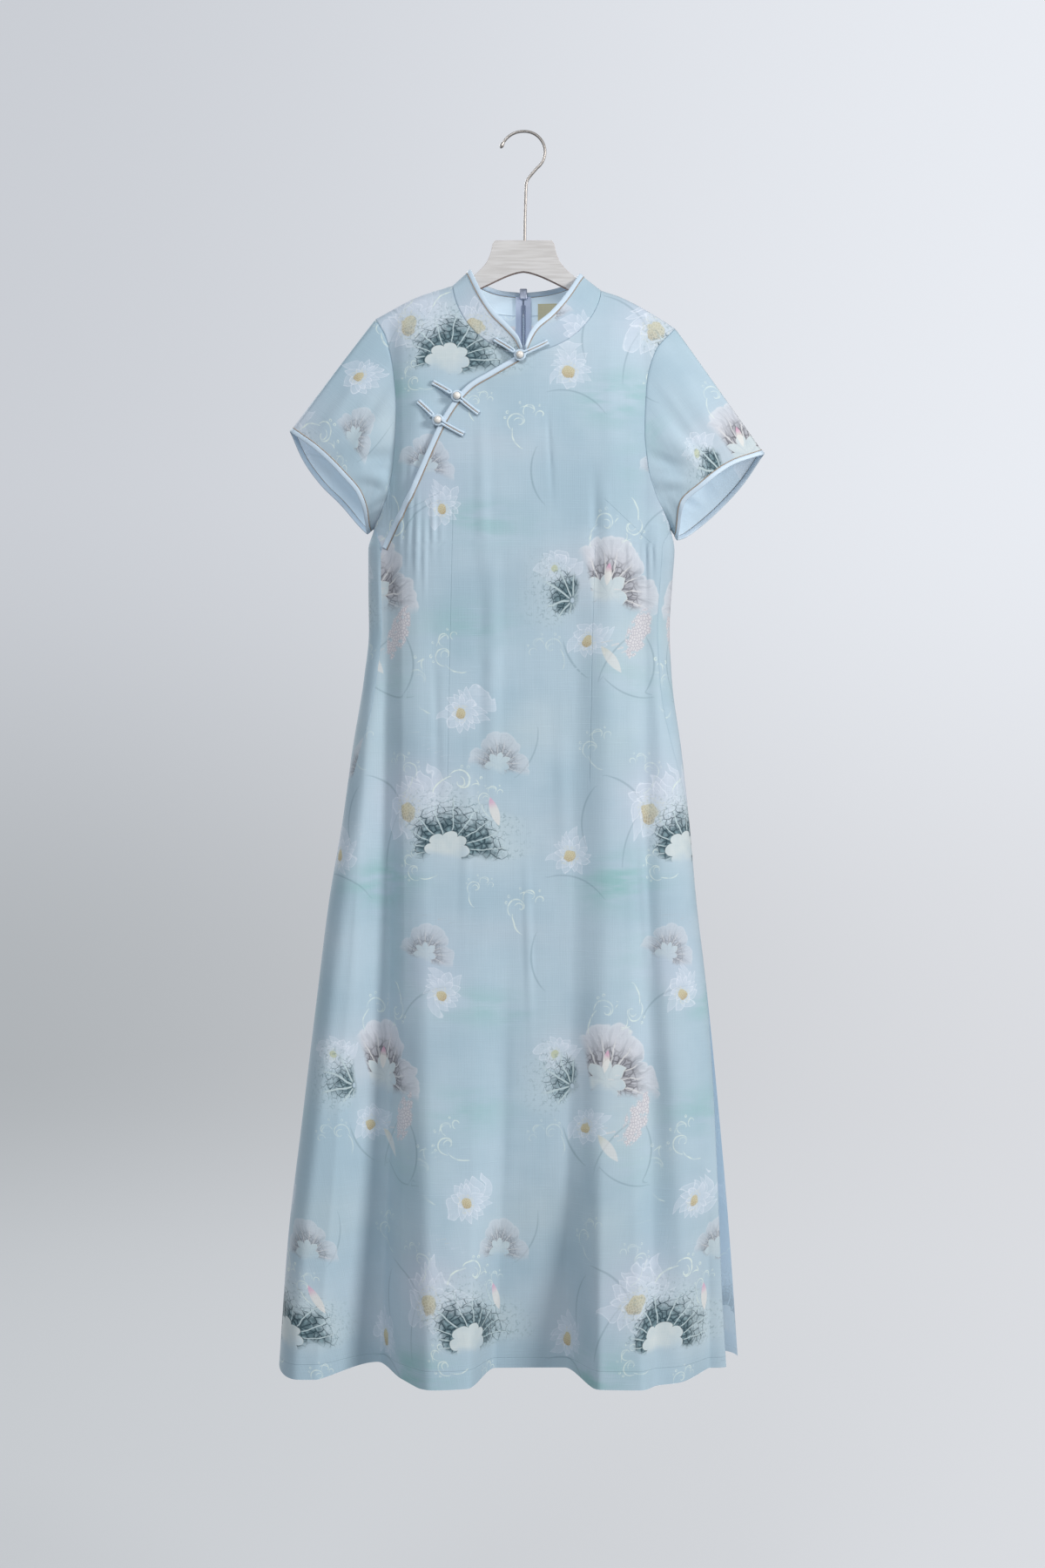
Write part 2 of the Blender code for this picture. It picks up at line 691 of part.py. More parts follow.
def back_panel(side, armhole):
    """Half of the back, from the side seam to the zip."""
    middle = side * 0.1
    foot = UNDERARM - 7 if side > 0 else PLACKET_END - 7
    heights = np.linspace(HEM, foot, LOWER_ROWS)
    if side < 0:
        heights = np.append(heights, LAP_SIDE)
    outer = [(side_edge(z, side, 0.0 if side > 0 else BACK_INSET), z) for z in heights]
    centre = [(middle, z) for z in heights]
    outer += [tuple(point) for point in curve_at(armhole, armhole_shares())]
    centre += [(middle, z) for z in np.linspace(UNDERARM, NECK_BACK_HEIGHT, PLACKET_ROWS + 1)]
    centre += [tuple(point) for point in back_neck_curve(side)[1:]]
    rows = []
    for i, (start, end) in enumerate(zip(outer, centre)):
        path = back_path(start, end, side, arch_share(max(0, i - len(heights))))
        rows.append(cloth_row(path, BACK_COLUMNS))
    rows[-1][:, 1] += SEAM_GAP / 2
    sheet("back_right" if side > 0 else "back_left", rows, CREPE, flip=side < 0)
    return rows


# ---------------------------------------------------------------- sleeves

def sleeve(side, front_rows, back_rows, front_column, cuff_front, cuff_back):
    """A short sleeve: a loft from the armhole's seam to the cuff, and the cuff's binding."""
    name = "right" if side > 0 else "left"
    front = [row[front_column] for row in front_rows[-UPPER_ROWS - 1:]][::-1]
    back = [row[0] for row in back_rows[-UPPER_ROWS - 1:]]
    armhole = front[:-1] + [0.5 * (front[-1] + back[0])] + back[1:-1]
    armhole[0] = 0.5 * (front[0] + back[-1])
    cuff = np.concatenate([curve_at(cuff_front, shares_along(front))[:-1],
                           curve_at(cuff_back[::-1], shares_along(back))[:-1]])
    armhole = np.array(armhole)
    reach = cuff - armhole
    length = np.linalg.norm(reach, axis=1)[:, None]
    away = reach / length
    corner = np.exp(-np.linalg.norm(armhole - armhole[UPPER_ROWS], axis=1) / 22)[:, None]
    start = armhole + away * SLEEVE_GAP + corner * np.array([side * UNDERARM_GAP, 0, 1.5])
    split = cuff - away * (BINDING_WIDTH + BINDING_GAP)
    puff = 5.0 * np.clip(length / 140, 0, 1)
    rise = np.array([0, 0, 1.0]) * puff
    swell = np.column_stack([0 * puff, np.sign(armhole[:, 1:2]) * 0.8 * puff, 0 * puff])
    rows = []
    for t in np.linspace(0, 1, SLEEVE_RINGS + 1):
        bulge = 4 * t * (1 - t)
        rows.append(start + (split - start) * t + bulge * (0.3 * rise + swell))
    sheet("sleeve_" + name, rows, CREPE, ring=True, flip=side < 0)
    band = [cuff - away * (BINDING_WIDTH * t) for t in (1, 0.5, 0)]
    sheet("cuff_binding_" + name, band, SATIN, wall=BAND, ring=True, flip=side < 0)


# ---------------------------------------------------------------- collar

def collar(side, front_rows, back_rows, front_column, top_front, top_back):
    """Half of the stand-up collar, from the front opening to the zip, and its binding."""
    name = "right" if side > 0 else "left"
    front = [row[front_column] for row in front_rows[-NECK_ROWS - 1:]]
    back = [row[-1] for row in back_rows[-NECK_ROWS - 1:]][::-1]
    base = np.array(front[:-1] + [0.5 * (front[-1] + back[0])] + back[1:])
    base[0, 0] = side * 1.2
    base[-1, 0] = side * 1.1
    top = np.concatenate([curve_at(top_front, shares_along(base[:NECK_ROWS + 1])),
                          curve_at(top_back, shares_along(base[NECK_ROWS:]))[1:]])
    up = top - base
    height = np.linalg.norm(up, axis=1)[:, None]
    up = up / height
    foot = base + up * 2 * SEAM_GAP
    split = base + up * np.maximum(0.4 * height, height - BINDING_WIDTH - BINDING_GAP)
    rows = [foot + (split - foot) * t for t in np.linspace(0, 1, 4)]
    sheet("collar_" + name, rows, CREPE, wall=CLOTH, flip=side < 0)
    band_foot = split + up * BINDING_GAP
    band = [band_foot + (top - band_foot) * t for t in (0, 0.5, 1)]
    sheet("collar_binding_" + name, band, SATIN, wall=BAND, flip=side < 0)


# ---------------------------------------------------------------- frog fastenings

def on_front(x, z, height):
    """A point a given height above the front's inner face, measured along Y."""
    return (x, float(front_y(x, z)) - height, z)


def cord(name, points):
    """A tube of satin cord along the points."""
    curve = bpy.data.curves.new(name, "CURVE")
    curve.dimensions = "3D"
    curve.bevel_depth = FROG_CORD * MM
    curve.bevel_resolution = 1
    curve.use_fill_caps = True
    spline = curve.splines.new("POLY")
    spline.points.add(len(points) - 1)
    for knot, point in zip(spline.points, points):
        knot.co = (*(c * MM for c in point), 1.0)
    curve.materials.append(SATIN)
    obj = bpy.data.objects.new(name, curve)
    DRESS.objects.link(obj)
    return obj


def frog_side(frog, end_x, end_z, turn_radius, drop):
    """The doubled cord from its raw ends, round a turn at the pearl, and back."""
    along = np.array([frog.pearl_x - end_x, frog.pearl_z - end_z])
    length = np.linalg.norm(along)
    along /= length
    across = np.array([-along[1], along[0]])
    pearl = np.array([frog.pearl_x, frog.pearl_z])
    end = np.array([end_x, end_z])
    half = math.asin(min(1.0, FROG_SPREAD / turn_radius))
    steps = 8 if turn_radius > 3 else 4
    turn = [pearl + turn_radius * (-math.cos(a) * along + math.sin(a) * across)
            for a in np.linspace(half, 2 * math.pi - half, steps + 1)]
    if turn_radius < 3:
        centre = pearl - along * (FROG_LOOP + FROG_CORD * 2 + KNOT_GAP)
        turn = [centre + turn_radius * (math.sin(a) * along + math.cos(a) * across)
                for a in np.linspace(0, math.pi, steps + 1)]
    first = [end + (turn[0] - end) * t
             + across * (FROG_SPREAD * (1 - t) + FROG_BOW * t * (1 - t))
             for t in (0, 0.33, 0.66)]
    last = [end + (turn[-1] - end) * t
            - across * (FROG_SPREAD * (1 - t) - FROG_BOW * t * (1 - t))
            for t in (0.66, 0.33, 0)]
    lift = BAND + 0.5 + FROG_CORD + frog.lift
    points = []
    for place in first + turn + last:
        share = np.linalg.norm(place - pearl) / length
        fall = drop * float(smoothstep((share - 0.3) / 0.7))
        points.append(on_front(place[0], place[1], lift - fall))
    return points


def frog_fastening(frog):
    """A straight frog: a doubled cord on each side and a pearl held in the loop of one."""
    cord(frog.name + "_knot",
         frog_side(frog, frog.out_x, frog.out_z, FROG_SPREAD, frog.out_drop))
    cord(frog.name + "_loop",
         frog_side(frog, frog.in_x, frog.in_z, FROG_LOOP, frog.in_drop))
    centre = on_front(frog.pearl_x, frog.pearl_z, BAND + 0.5 + PEARL + frog.lift)
    bpy.ops.mesh.primitive_uv_sphere_add(segments=12, ring_count=8, radius=PEARL * MM,
                                         location=[c * MM for c in centre])
    pearl = bpy.context.object
    pearl.name = frog.name + "_pearl"
    pearl.data.materials.append(PEARL_FINISH)
    pearl.data.shade_smooth()
    take_in(pearl)


def take_in(obj):
    """Move an object that an operator made into the dress's own collection."""
    for home in list(obj.users_collection):
        home.objects.unlink(obj)
    DRESS.objects.link(obj)


# ---------------------------------------------------------------- zip, facing and label

def back_inside(x, z):
    """The inner face of the back, and above it of the collar's back, in Y."""
    z = np.asarray(z, float)
    seam = back_y(x, np.minimum(z, NECK_BACK_HEIGHT))
    rise = np.maximum(z - NECK_BACK_HEIGHT, 0)
    return seam - 0.02 * rise - 0.8 * smoothstep((z + 230) / 25)


def zip_tape(side):
    """One tape of the zip, just inside the back."""
    rows = []
    for z in np.linspace(ZIP_FOOT, ZIP_TOP - 3, 16):
        x = side * np.linspace(1.0, 1.0 + TAPE_WIDTH, 3)
        y = back_inside(x, np.full(3, z)) - 0.5 - TAPE
        rows.append(np.column_stack([x, y, np.full(3, z)])[::-1])
    sheet("zip_tape_" + ("right" if side > 0 else "left"), rows, TAPE_CLOTH, wall=TAPE,
          flip=side < 0)


def neck_facing(side):
    """The pale lining that shows inside the back, below the collar."""
    rows = []
    for z in np.linspace(-285, -212, 5):
        x = side * np.linspace(9.5, 70, 7)
        fit = np.minimum(z, shoulder_line(x) - 14)
        y = back_y(x, fit) - 0.5 - CLOTH
        rows.append(np.column_stack([x, y, fit])[::-1])
    sheet("neck_facing_" + ("right" if side > 0 else "left"), rows, LINING, flip=side < 0)


def neck_label():
    """The woven label, bare, inside the neck to the right of the zip."""
    rows = []
    for z in np.linspace(-208, -187, 4):
        x = np.linspace(16.5, 38, 6)
        bow = np.sqrt(1 - (x / 87) ** 2)
        y = (30 - 0.12 * (z + 208)) * bow - 0.5
        rows.append(np.column_stack([x, y, np.full(6, z)])[::-1])
    sheet("neck_label", rows, LABEL_CLOTH, wall=0.8)


def box(name, low, high):
    """A plain box between two corners, as a mesh object outside any collection yet."""
    size = [(b - a) * MM for a, b in zip(low, high)]
    middle = [(a + b) / 2 * MM for a, b in zip(low, high)]
    mesh = bpy.data.meshes.new(name)
    bm = bmesh.new()
    bmesh.ops.create_cube(bm, size=1.0)
    for vert in bm.verts:
        vert.co = [c * s + m for c, s, m in zip(vert.co, size, middle)]
    bm.to_mesh(mesh)
    bm.free()
    return bpy.data.objects.new(name, mesh)


def rod(name, radius, half_length, centre, segments=16):
    """A cylinder along X."""
    mesh = bpy.data.meshes.new(name)
    bm = bmesh.new()
    bmesh.ops.create_cone(bm, cap_ends=True, segments=segments, radius1=radius * MM,
                          radius2=radius * MM, depth=2 * half_length * MM)
    for vert in bm.verts:
        vert.co = (vert.co.z + centre[0] * MM, vert.co.y + centre[1] * MM,
                   -vert.co.x + centre[2] * MM)
    bm.to_mesh(mesh)
    bm.free()
    return bpy.data.objects.new(name, mesh)


def join_or_cut(obj, tool, operation):
    """Add a Boolean with a hidden tool to an object."""
    CUTTERS.objects.link(tool)
    tool.hide_render = True
    tool.display_type = "WIRE"
    change = obj.modifiers.new(tool.name, "BOOLEAN")
    change.operation = operation
    change.object = tool


PIN_Y = 36.8
PIN_Z = SLIDER_MIDDLE + 1.0


def zip_slider():
    """The slider: a plate on each side of the zip, a bridge between them, and a pin."""
    half = SLIDER_WIDTH / 2
    inside_y = float(back_inside(0, -184)) - 0.5 - TAPE - 0.5
    body = box("zip_slider",
               (-half, inside_y - 2.6, SLIDER_MIDDLE - SLIDER_HEIGHT / 2),
               (half, inside_y, SLIDER_MIDDLE + SLIDER_HEIGHT / 2))
    DRESS.objects.link(body)
    body.data.materials.append(PAINTED_METAL)
    round_off = body.modifiers.new("rounded", "BEVEL")
    round_off.width = 0.9 * MM
    round_off.segments = 2
    join_or_cut(body, box("slider_bridge", (-0.6, inside_y - 1, SLIDER_MIDDLE - 3),
                          (0.6, 33.5, SLIDER_MIDDLE + 3)), "UNION")
    join_or_cut(body, box("slider_crown", (-3.2, 33.2, SLIDER_MIDDLE - 4.5),
                          (3.2, 34.4, SLIDER_MIDDLE + 4.5)), "UNION")
    ear_in = PULL_WIDTH / 2 + EYE_CLEARANCE
    for side in (-1, 1):
        low = min(side * ear_in, side * (ear_in + 1.0))
        join_or_cut(body, box("slider_ear", (low, 33.8, PIN_Z - 1.3),
                              (low + 1.0, PIN_Y + 1.3, PIN_Z + 1.3)), "UNION")
    join_or_cut(body, rod("slider_pin", PIN_RADIUS, ear_in + 0.5, (0, PIN_Y, PIN_Z)), "UNION")


def zip_pull():
    """The pull tab, hanging from the slider's pin behind the dress."""
    eye = PIN_RADIUS + EYE_CLEARANCE
    pull = rod("zip_pull", eye + 0.9, PULL_WIDTH / 2, (0, PIN_Y, PIN_Z))
    DRESS.objects.link(pull)
    pull.data.materials.append(PAINTED_METAL)
    join_or_cut(pull, box("pull_blade", (-PULL_WIDTH / 2, PIN_Y - 0.6, PIN_Z - PULL_LENGTH),
                          (PULL_WIDTH / 2, PIN_Y + 0.6, PIN_Z - eye - 0.2)), "UNION")
    join_or_cut(pull, rod("pull_eye", eye, PULL_WIDTH, (0, PIN_Y, PIN_Z)), "DIFFERENCE")
    pivot = np.array([0, PIN_Y, PIN_Z]) * MM
    for vert in pull.data.vertices:
        vert.co = vert.co - type(vert.co)(pivot)
    pull.location = pivot


# ---------------------------------------------------------------- hanger

def hanger_body():
    """The flat wooden body, its arms just under the shoulder seams."""
    curve = bpy.data.curves.new("hanger_body", "CURVE")
    curve.dimensions = "2D"
    curve.fill_mode = "BOTH"
    curve.extrude = WOOD / 2 * MM - 0.6 * MM
    curve.bevel_depth = 0.6 * MM
    curve.bevel_resolution = 0
    outline = []
    for side in (-1, 1):
        reach = ARM_END if side > 0 else ARM_END - 2
        top = [(x, float(shoulder_line(side * x)) - ARM_CLEAR)
               for x in np.linspace(reach, 84, 6)]
        flare = [(66, -169.5), (50, -157.0), (40, -145.0), (35.5, -133.0)]
        crown = [(WOOD_TOP_HALF + 2.5, WOOD_TOP - 3.5), (WOOD_TOP_HALF, WOOD_TOP)]
        under = [(5, APEX - 0.5), (44, -173.0), (90, float(shoulder_line(side * 90)) - 20.0),
                 (reach - 6, float(shoulder_line(side * (reach - 6))) - ARM_TIP_DEPTH)]
        half = under + [(reach + 1.5, top[0][1] - 5.0)] + top + flare + crown
        half = [(side * x, z) for x, z in half]
        outline += half[::-1] if side > 0 else half
    spline = curve.splines.new("POLY")
    spline.points.add(len(outline) - 1)
    for knot, (x, z) in zip(spline.points, outline):
        knot.co = (x * MM, z * MM, 0, 1)
    spline.use_cyclic_u = True
    curve.materials.append(PALE_WOOD)
    obj = bpy.data.objects.new("hanger_body", curve)
    obj.rotation_euler = (math.pi / 2, 0, 0)
    DRESS.objects.link(obj)


def hanger_hook():
    """The hook: a ring of wire, flared at its tip, that bends into the stem."""
    middle = (1.3, WIRE - HOOK_RADIUS)
    points = []
    for angle in np.linspace(172, -52, 22):
        flare = HOOK_FLARE * max(0.0, (angle - 90) / 82) ** 1.4
        radius = HOOK_RADIUS + flare
        points.append((middle[0] + radius * math.cos(math.radians(angle)), 0,
                       middle[1] + radius * math.sin(math.radians(angle))))
    points += [(8.0, 0, -48.3), (4.6, 0, -53.0), (3.0, 0, -59.0), (2.6, 0, -70.0),
               (1.5, 0, WOOD_TOP + 0.9)]
    curve = bpy.data.curves.new("hanger_hook", "CURVE")
    curve.dimensions = "3D"
    curve.bevel_depth = WIRE * MM
    curve.bevel_resolution = 2
    curve.use_fill_caps = True
    spline = curve.splines.new("POLY")
    spline.points.add(len(points) - 1)
    for knot, point in zip(spline.points, points):
        knot.co = (*(c * MM for c in point), 1.0)
    curve.materials.append(STEEL)
    obj = bpy.data.objects.new("hanger_hook", curve)
    DRESS.objects.link(obj)


# ---------------------------------------------------------------- assembly

def main():
    front_rows = front_main()
    lap_rows = front_underlap()
    placket_band()
    left_back = back_panel(-1, BACK_ARMHOLE_LEFT)
    right_back = back_panel(1, BACK_ARMHOLE_RIGHT)
    sleeve(-1, lap_rows, left_back, 0, CUFF_FRONT_LEFT, CUFF_BACK_LEFT)
    sleeve(1, front_rows, right_back, -1, CUFF_FRONT_RIGHT, CUFF_BACK_RIGHT)
    collar(-1, lap_rows, left_back, -1, COLLAR_FRONT_LEFT, COLLAR_BACK_LEFT)
    collar(1, front_rows, right_back, 0, COLLAR_FRONT_RIGHT, COLLAR_BACK_RIGHT)
    for frog in FROGS:
        frog_fastening(frog)
    for side in (-1, 1):
        zip_tape(side)
        neck_facing(side)
    neck_label()
    zip_slider()
    zip_pull()
    hanger_body()
    hanger_hook()


main()
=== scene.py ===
"""The looks of a short-sleeved cheongsam dress on its wooden hanger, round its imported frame.

The tables and surfaces are those of the solids, in millimetres, read here at a finer pitch and
with the smaller creases of the cloth added. In two places they differ: the pleats beside the
bust darts are laid a little differently, and the hollow in the middle of the front is shallower
towards the hem. +X is to the viewer's right, +Z is up, and the front faces -Y. The print is
drawn by formulas: each point of a panel carries its place within the nearest leaf, flower, bud
and wave, and the shader draws the motifs from those.
"""

import math
from collections import namedtuple

import bmesh
import bpy
import numpy as np
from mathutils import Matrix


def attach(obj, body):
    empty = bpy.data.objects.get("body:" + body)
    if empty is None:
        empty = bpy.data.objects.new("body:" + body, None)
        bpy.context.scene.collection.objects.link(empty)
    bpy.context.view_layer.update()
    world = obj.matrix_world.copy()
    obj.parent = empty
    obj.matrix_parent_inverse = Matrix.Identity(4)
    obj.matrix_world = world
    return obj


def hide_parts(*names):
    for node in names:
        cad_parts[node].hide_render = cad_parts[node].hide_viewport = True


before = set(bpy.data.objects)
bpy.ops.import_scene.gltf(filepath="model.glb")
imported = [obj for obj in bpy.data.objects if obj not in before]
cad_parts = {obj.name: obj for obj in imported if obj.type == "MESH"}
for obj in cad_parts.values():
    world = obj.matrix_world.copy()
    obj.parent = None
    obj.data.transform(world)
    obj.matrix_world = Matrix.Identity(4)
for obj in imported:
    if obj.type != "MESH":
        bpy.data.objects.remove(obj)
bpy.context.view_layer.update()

MM = 0.001

# ---------------------------------------------------------------- driving dimensions

CLOTH = 1.0              # wall of a panel
BAND = 1.8               # wall of the satin bindings, folded cloth
UNDERARM = -444.0        # height of the underarm points
PLACKET_END = -469.0     # where the placket runs into the side seam
LAP_SIDE = tuple(np.linspace(-472, -447, 7))    # the underlap's short side seam
SLIT_TOP = -865.0        # the side seams are open below this
HEM = -1384.0            # mean height of the hem
HEM_STITCHES = 13.5      # from the hem up to its sewn line
HEM_DROP = 6.0           # the hem's rise in a hollow, and its fall under a flute
SIDE_WRAP = 15.0         # how far the side seams sit inside the outline, on the front
FRONT_INSET = 15.0       # how far the front's right edge is inside the back's, at the hem
BACK_INSET = 6.0         # how far the back's left edge is inside the front's, at the hem
RIDGE = 8.0              # radius of the shoulder line over the hanger's arms
NECK_LEFT = -79.4        # where the shoulder seams meet the collar
NECK_RIGHT = 87.2
NECK_FRONT = (-1.0, -256.0)
NECK_BACK_HEIGHT = -200.0
SHOULDER_TIP_LEFT = -166.0
SHOULDER_TIP_RIGHT = 170.5
PLACKET_WIDTH = 6.0
PLACKET_LAP = 10.0       # how far the underlap runs on under the front
LAP_DEPTH = 3.2          # how far it lies below the front there

LOWER_ROWS = 200         # rows of cloth from the hem to the underarm
PLACKET_ROWS = 80        # rows from the underarm to the foot of the collar
NECK_ROWS = 36           # rows beside the collar's seam
UPPER_ROWS = PLACKET_ROWS + NECK_ROWS
FRONT_COLUMNS = 260
BACK_COLUMNS = 110
LAP_COLUMNS = 90
SLEEVE_RINGS = 60
COLLAR_COLUMNS = 160
COLLAR_ROWS = 30
FINE = 520               # samples in a path before its columns are spaced out

# ---------------------------------------------------------------- tables of the cloth

# The outline from the front: Z, and the X of the body's left and right edges. Above the underarm
# the rows only shape the front and back, whose edges there are the armholes.
OUTLINE = (
    (-1390, -273, 241), (-1242, -262.6, 231), (-1125, -248.9, 221), (-968, -230.3, 205.5),
    (-865, -217.5, 193.5), (-772, -201.9, 185.2), (-693, -191.1, 176.4), (-615, -178.4, 166),
    (-560, -172.8, 163.6), (-500, -173.5, 167), (-469, -173.5, 169), (-444, -167, 165),
    (-400, -180, 178), (-340, -190, 187), (-222, -197, 196), (-120, -197, 196),
)

# The shoulder line over the arms of the hanger, in X and Z. Between the neck points it is only
# a guide.
SHOULDER = (
    (-190, -222), (-168, -211.5), (-118, -185.5), (-79.4, -173), (0, -146), (87.2, -178.5),
    (108, -185.5), (140, -202), (171, -221.5), (192, -234),
)

# The long folds, left to right. After its name each row has pairs: the X of the crest or hollow,
# and how far it is in front of the hanger, or behind it, at each of these heights, which are
# bust, waist, hip, knee and hem.
FOLD_HEIGHTS = (-470.0, -620.0, -865.0, -1120.0, -1384.0)
FRONT_FOLDS = (
    ("left flute", -166, 24, -171, 28, -186, 36, -205, 46, -227, 54),
    ("left hollow", -152, 24, -151, 23, -151, 22, -152, 14, -163, 3),
    ("first flute, flank", -133, 38, -133, 37, -131, 42, -131, 48, -133, 52),
    ("first flute, crest", -114, 45, -112, 42, -106, 50, -101, 66, -99, 86),
    ("first flute, fall", -60, 49, -60, 43, -59, 50, -58, 62, -62, 80),
    ("middle hollow, left", -8, 50, -6, 40, -10, 46, -18, 46, -32, 20),
    ("middle hollow, right", 56, 48, 57, 39, 53, 43, 48, 46, 46, 19),
    ("second flute, crest", 92, 47, 91, 46, 93, 52, 88, 66, 84, 84),
    ("second flute, fall", 116, 40, 116, 39, 116, 48, 118, 62, 127, 86),
    ("right hollow", 138, 30, 138, 29, 137, 38, 143, 50, 145, 70),
    ("right ripple", 150, 30, 150, 30, 152, 41, 167, 56, 170, 62),
    ("right edge", 160, 26, 158, 28, 180, 34, 203, 40, 206, 20),
)

# The back hangs against a wall, so its folds are flatter.
BACK_FOLDS = (
    ("left edge", -160, 22, -160, 22, -200, 24, -230, 26, -250, 26),
    ("left flute", -118, 27, -116, 25, -140, 33, -160, 39, -176, 43),
    ("left hollow", -70, 30, -62, 24, -82, 28, -96, 26, -104, 21),
    ("middle", -6, 31, -4, 25, -8, 34, -10, 40, -12, 43),
    ("right hollow", 62, 30, 58, 24, 70, 28, 76, 26, 82, 20),
    ("right flute", 112, 27, 112, 25, 124, 33, 138, 38, 150, 42),
    ("right edge", 154, 22, 152, 22, 176, 24, 200, 26, 216, 26),
)

# Short ridges: one ripple at the waist, and the eased cloth beside the bust darts. Each runs from
# top to foot along a line, with its height out of the dress and half its width.
Ridge = namedtuple("Ridge", "x_top z_top x_foot z_foot height width")
WAIST_RIPPLE = Ridge(-33, -400, -36, -800, 3.0, 14.0)
LEFT_EASE = (2.2, 1.4, 2.4, 1.6, 2.0, 1.2)       # heights of the pleats, from the side in
RIGHT_EASE = (1.8, 2.2, 1.3, 2.0, 1.2)
EASE_WIDTH = 4.2

# The placket, in X and Z, from the neck down to the left side seam.
PLACKET = (
    (-5, -258), (-36, -276), (-62, -292), (-88.5, -326), (-104, -358), (-126, -408),
    (-157.5, PLACKET_END),
)

# The armholes' seams, in X and Z, from the underarm up to the shoulder.
FRONT_ARMHOLE_LEFT = (
    (-167, UNDERARM), (-160, -431), (-151, -408), (-144, -370), (-141, -316), (-145, -270),
    (-154, -232), (SHOULDER_TIP_LEFT, -210.5),
)
FRONT_ARMHOLE_RIGHT = (
    (165, UNDERARM), (158, -432), (147, -410), (138.5, -380), (134.5, -340), (137, -288),
    (147, -250), (SHOULDER_TIP_RIGHT, -221.2),
)
BACK_ARMHOLE_LEFT = (
    (-167, UNDERARM), (-160, -430), (-151, -400), (-147, -340), (-150, -270), (-157, -232),
    (SHOULDER_TIP_LEFT, -210.5),
)
BACK_ARMHOLE_RIGHT = (
    (165, UNDERARM), (158, -430), (149, -400), (144, -340), (149, -275), (157, -242),
    (SHOULDER_TIP_RIGHT, -221.2),
)

# The cuffs, in X, Y and Z, from the outer end to the underarm: front edge and back edge.
CUFF_FRONT_LEFT = (
    (-261.7, -1, -337), (-231.6, -18, -360), (-203, -28, -388.5), (-184.3, -26, -411.5),
    (-178, -14, -432), (-176, -1, -451),
)
CUFF_BACK_LEFT = (
    (-261.7, 1, -337), (-249.3, 14, -366), (-230.4, 20, -392.7), (-206.9, 20, -416.2),
    (-189, 13, -437), (-176, 1, -451),
)
CUFF_FRONT_RIGHT = (
    (270, -1, -362), (233.6, -18, -376.4), (199.3, -28, -402), (178.5, -25, -422),
    (175.5, -14, -439), (174, -1, -458),
)
CUFF_BACK_RIGHT = (
    (270, 1, -362), (248, 16, -394.4), (226, 22, -418.3), (203.2, 21, -439), (184, 13, -453),
    (174, 1, -458),
)

# The collar's top edge, in X, Y and Z: from the front opening to the shoulder, and on to the zip.
COLLAR_FRONT_LEFT = (
    (-1.5, -51, -249), (-5, -49, -239.5), (-15, -45, -227), (-32, -37, -208.5), (-46, -25, -185),
    (-59, 0, -155),
)
COLLAR_FRONT_RIGHT = (
    (1.5, -51, -249), (4.5, -49, -239.5), (12, -46, -226), (29, -38, -210), (45, -26, -190),
    (63, 0, -159.5),
)
COLLAR_BACK_LEFT = (
    (-59, 0, -155), (-55, 12, -160), (-43, 22, -167), (-24, 28, -172), (-1.1, 30, -174),
)
COLLAR_BACK_RIGHT = (
    (63, 0, -159.5), (58, 12, -162.5), (45, 22, -168), (24, 28, -172), (1.1, 30, -174),
)

# Frog fastenings: the pearl, the far ends of the two cords, how far the whole frog is lifted
# off the front, and how far each end then drops to the cloth that it is sewn to.
Frog = namedtuple("Frog", "name pearl_x pearl_z out_x out_z in_x in_z lift out_drop in_drop")
FROGS = (
    Frog("frog_1", -4.0, -259.5, -32.0, -241.0, 27.0, -244.0, 1.8, 2.4, 1.2),
    Frog("frog_2", -73.5, -304.5, -100.5, -288.5, -49.5, -324.0, 0.0, 1.0, 0.9),
    Frog("frog_3", -94.5, -331.0, -116.5, -309.5, -66.0, -347.0, 0.0, 1.1, 0.9),
)
FROG_CORD = 1.3          # radius of a frog's cord
FROG_SPREAD = 1.5        # half the distance between its two runs
FROG_LOOP = 5.4          # radius of the loop round the pearl
FROG_BOW = 1.2           # how far a doubled cord swells between its end and its turn
FROG_GAP = 0.5           # between the placket's band and a frog over it
KNOT_GAP = 1.2           # between the knot's turn and the loop
PEARL = 4.15             # radius of a pearl

# The zip, down the centre of the back, with its slider closed at the top.
ZIP_TOP = -176.0
ZIP_FOOT = -650.0
TAPE_WIDTH = 7.6
TAPE = 0.8
COIL_PITCH = 1.5
COIL_WIDE = 0.9          # half the width of a coil
COIL_DEEP = 0.4          # and half its depth
COIL_WIRE = 0.33         # radius of its wire
INSIDE_GAP = 0.5         # between the back's inner face and what is sewn to it

# The hanger: a flat wooden body and a hook of thick wire.
WOOD = 9.0
ARM_CLEAR = 3.6          # from the shoulder seam's inner face down to the arms
WOOD_TOP = -122.5
WOOD_TOP_HALF = 31.5
ARM_END = 163.0
ARM_TIP_DEPTH = 13.0
APEX = -156.0
WIRE = 1.6               # radius of the hook's wire
HOOK_RADIUS = 23.0
HOOK_FLARE = 4.0         # how far the hook opens towards its tip

# Lines of the hanger, in X and Z: its right flank from the arm up to the flat top, its lower edge
# from the middle, and the hook's stem down into the wood.
FLANK = ((74, -174.5), (66, -169.5), (50, -157.0), (40, -145.0), (35.5, -133.0),
         (WOOD_TOP_HALF + 2.5, WOOD_TOP - 3.5), (WOOD_TOP_HALF, WOOD_TOP))
LOWER_EDGE = ((0, APEX - 0.2), (5, APEX - 0.9), (44, -173.0))
STEM = ((8.0, -48.3), (4.6, -53.0), (3.0, -59.0), (2.6, -70.0), (1.8, -100.0),
        (1.5, WOOD_TOP - 4))
HOOK_TIP = (0.25, 1.0, 1.35, 1.45, 1.40, 1.2, 1.05)   # the wire's thickness at its rounded tip

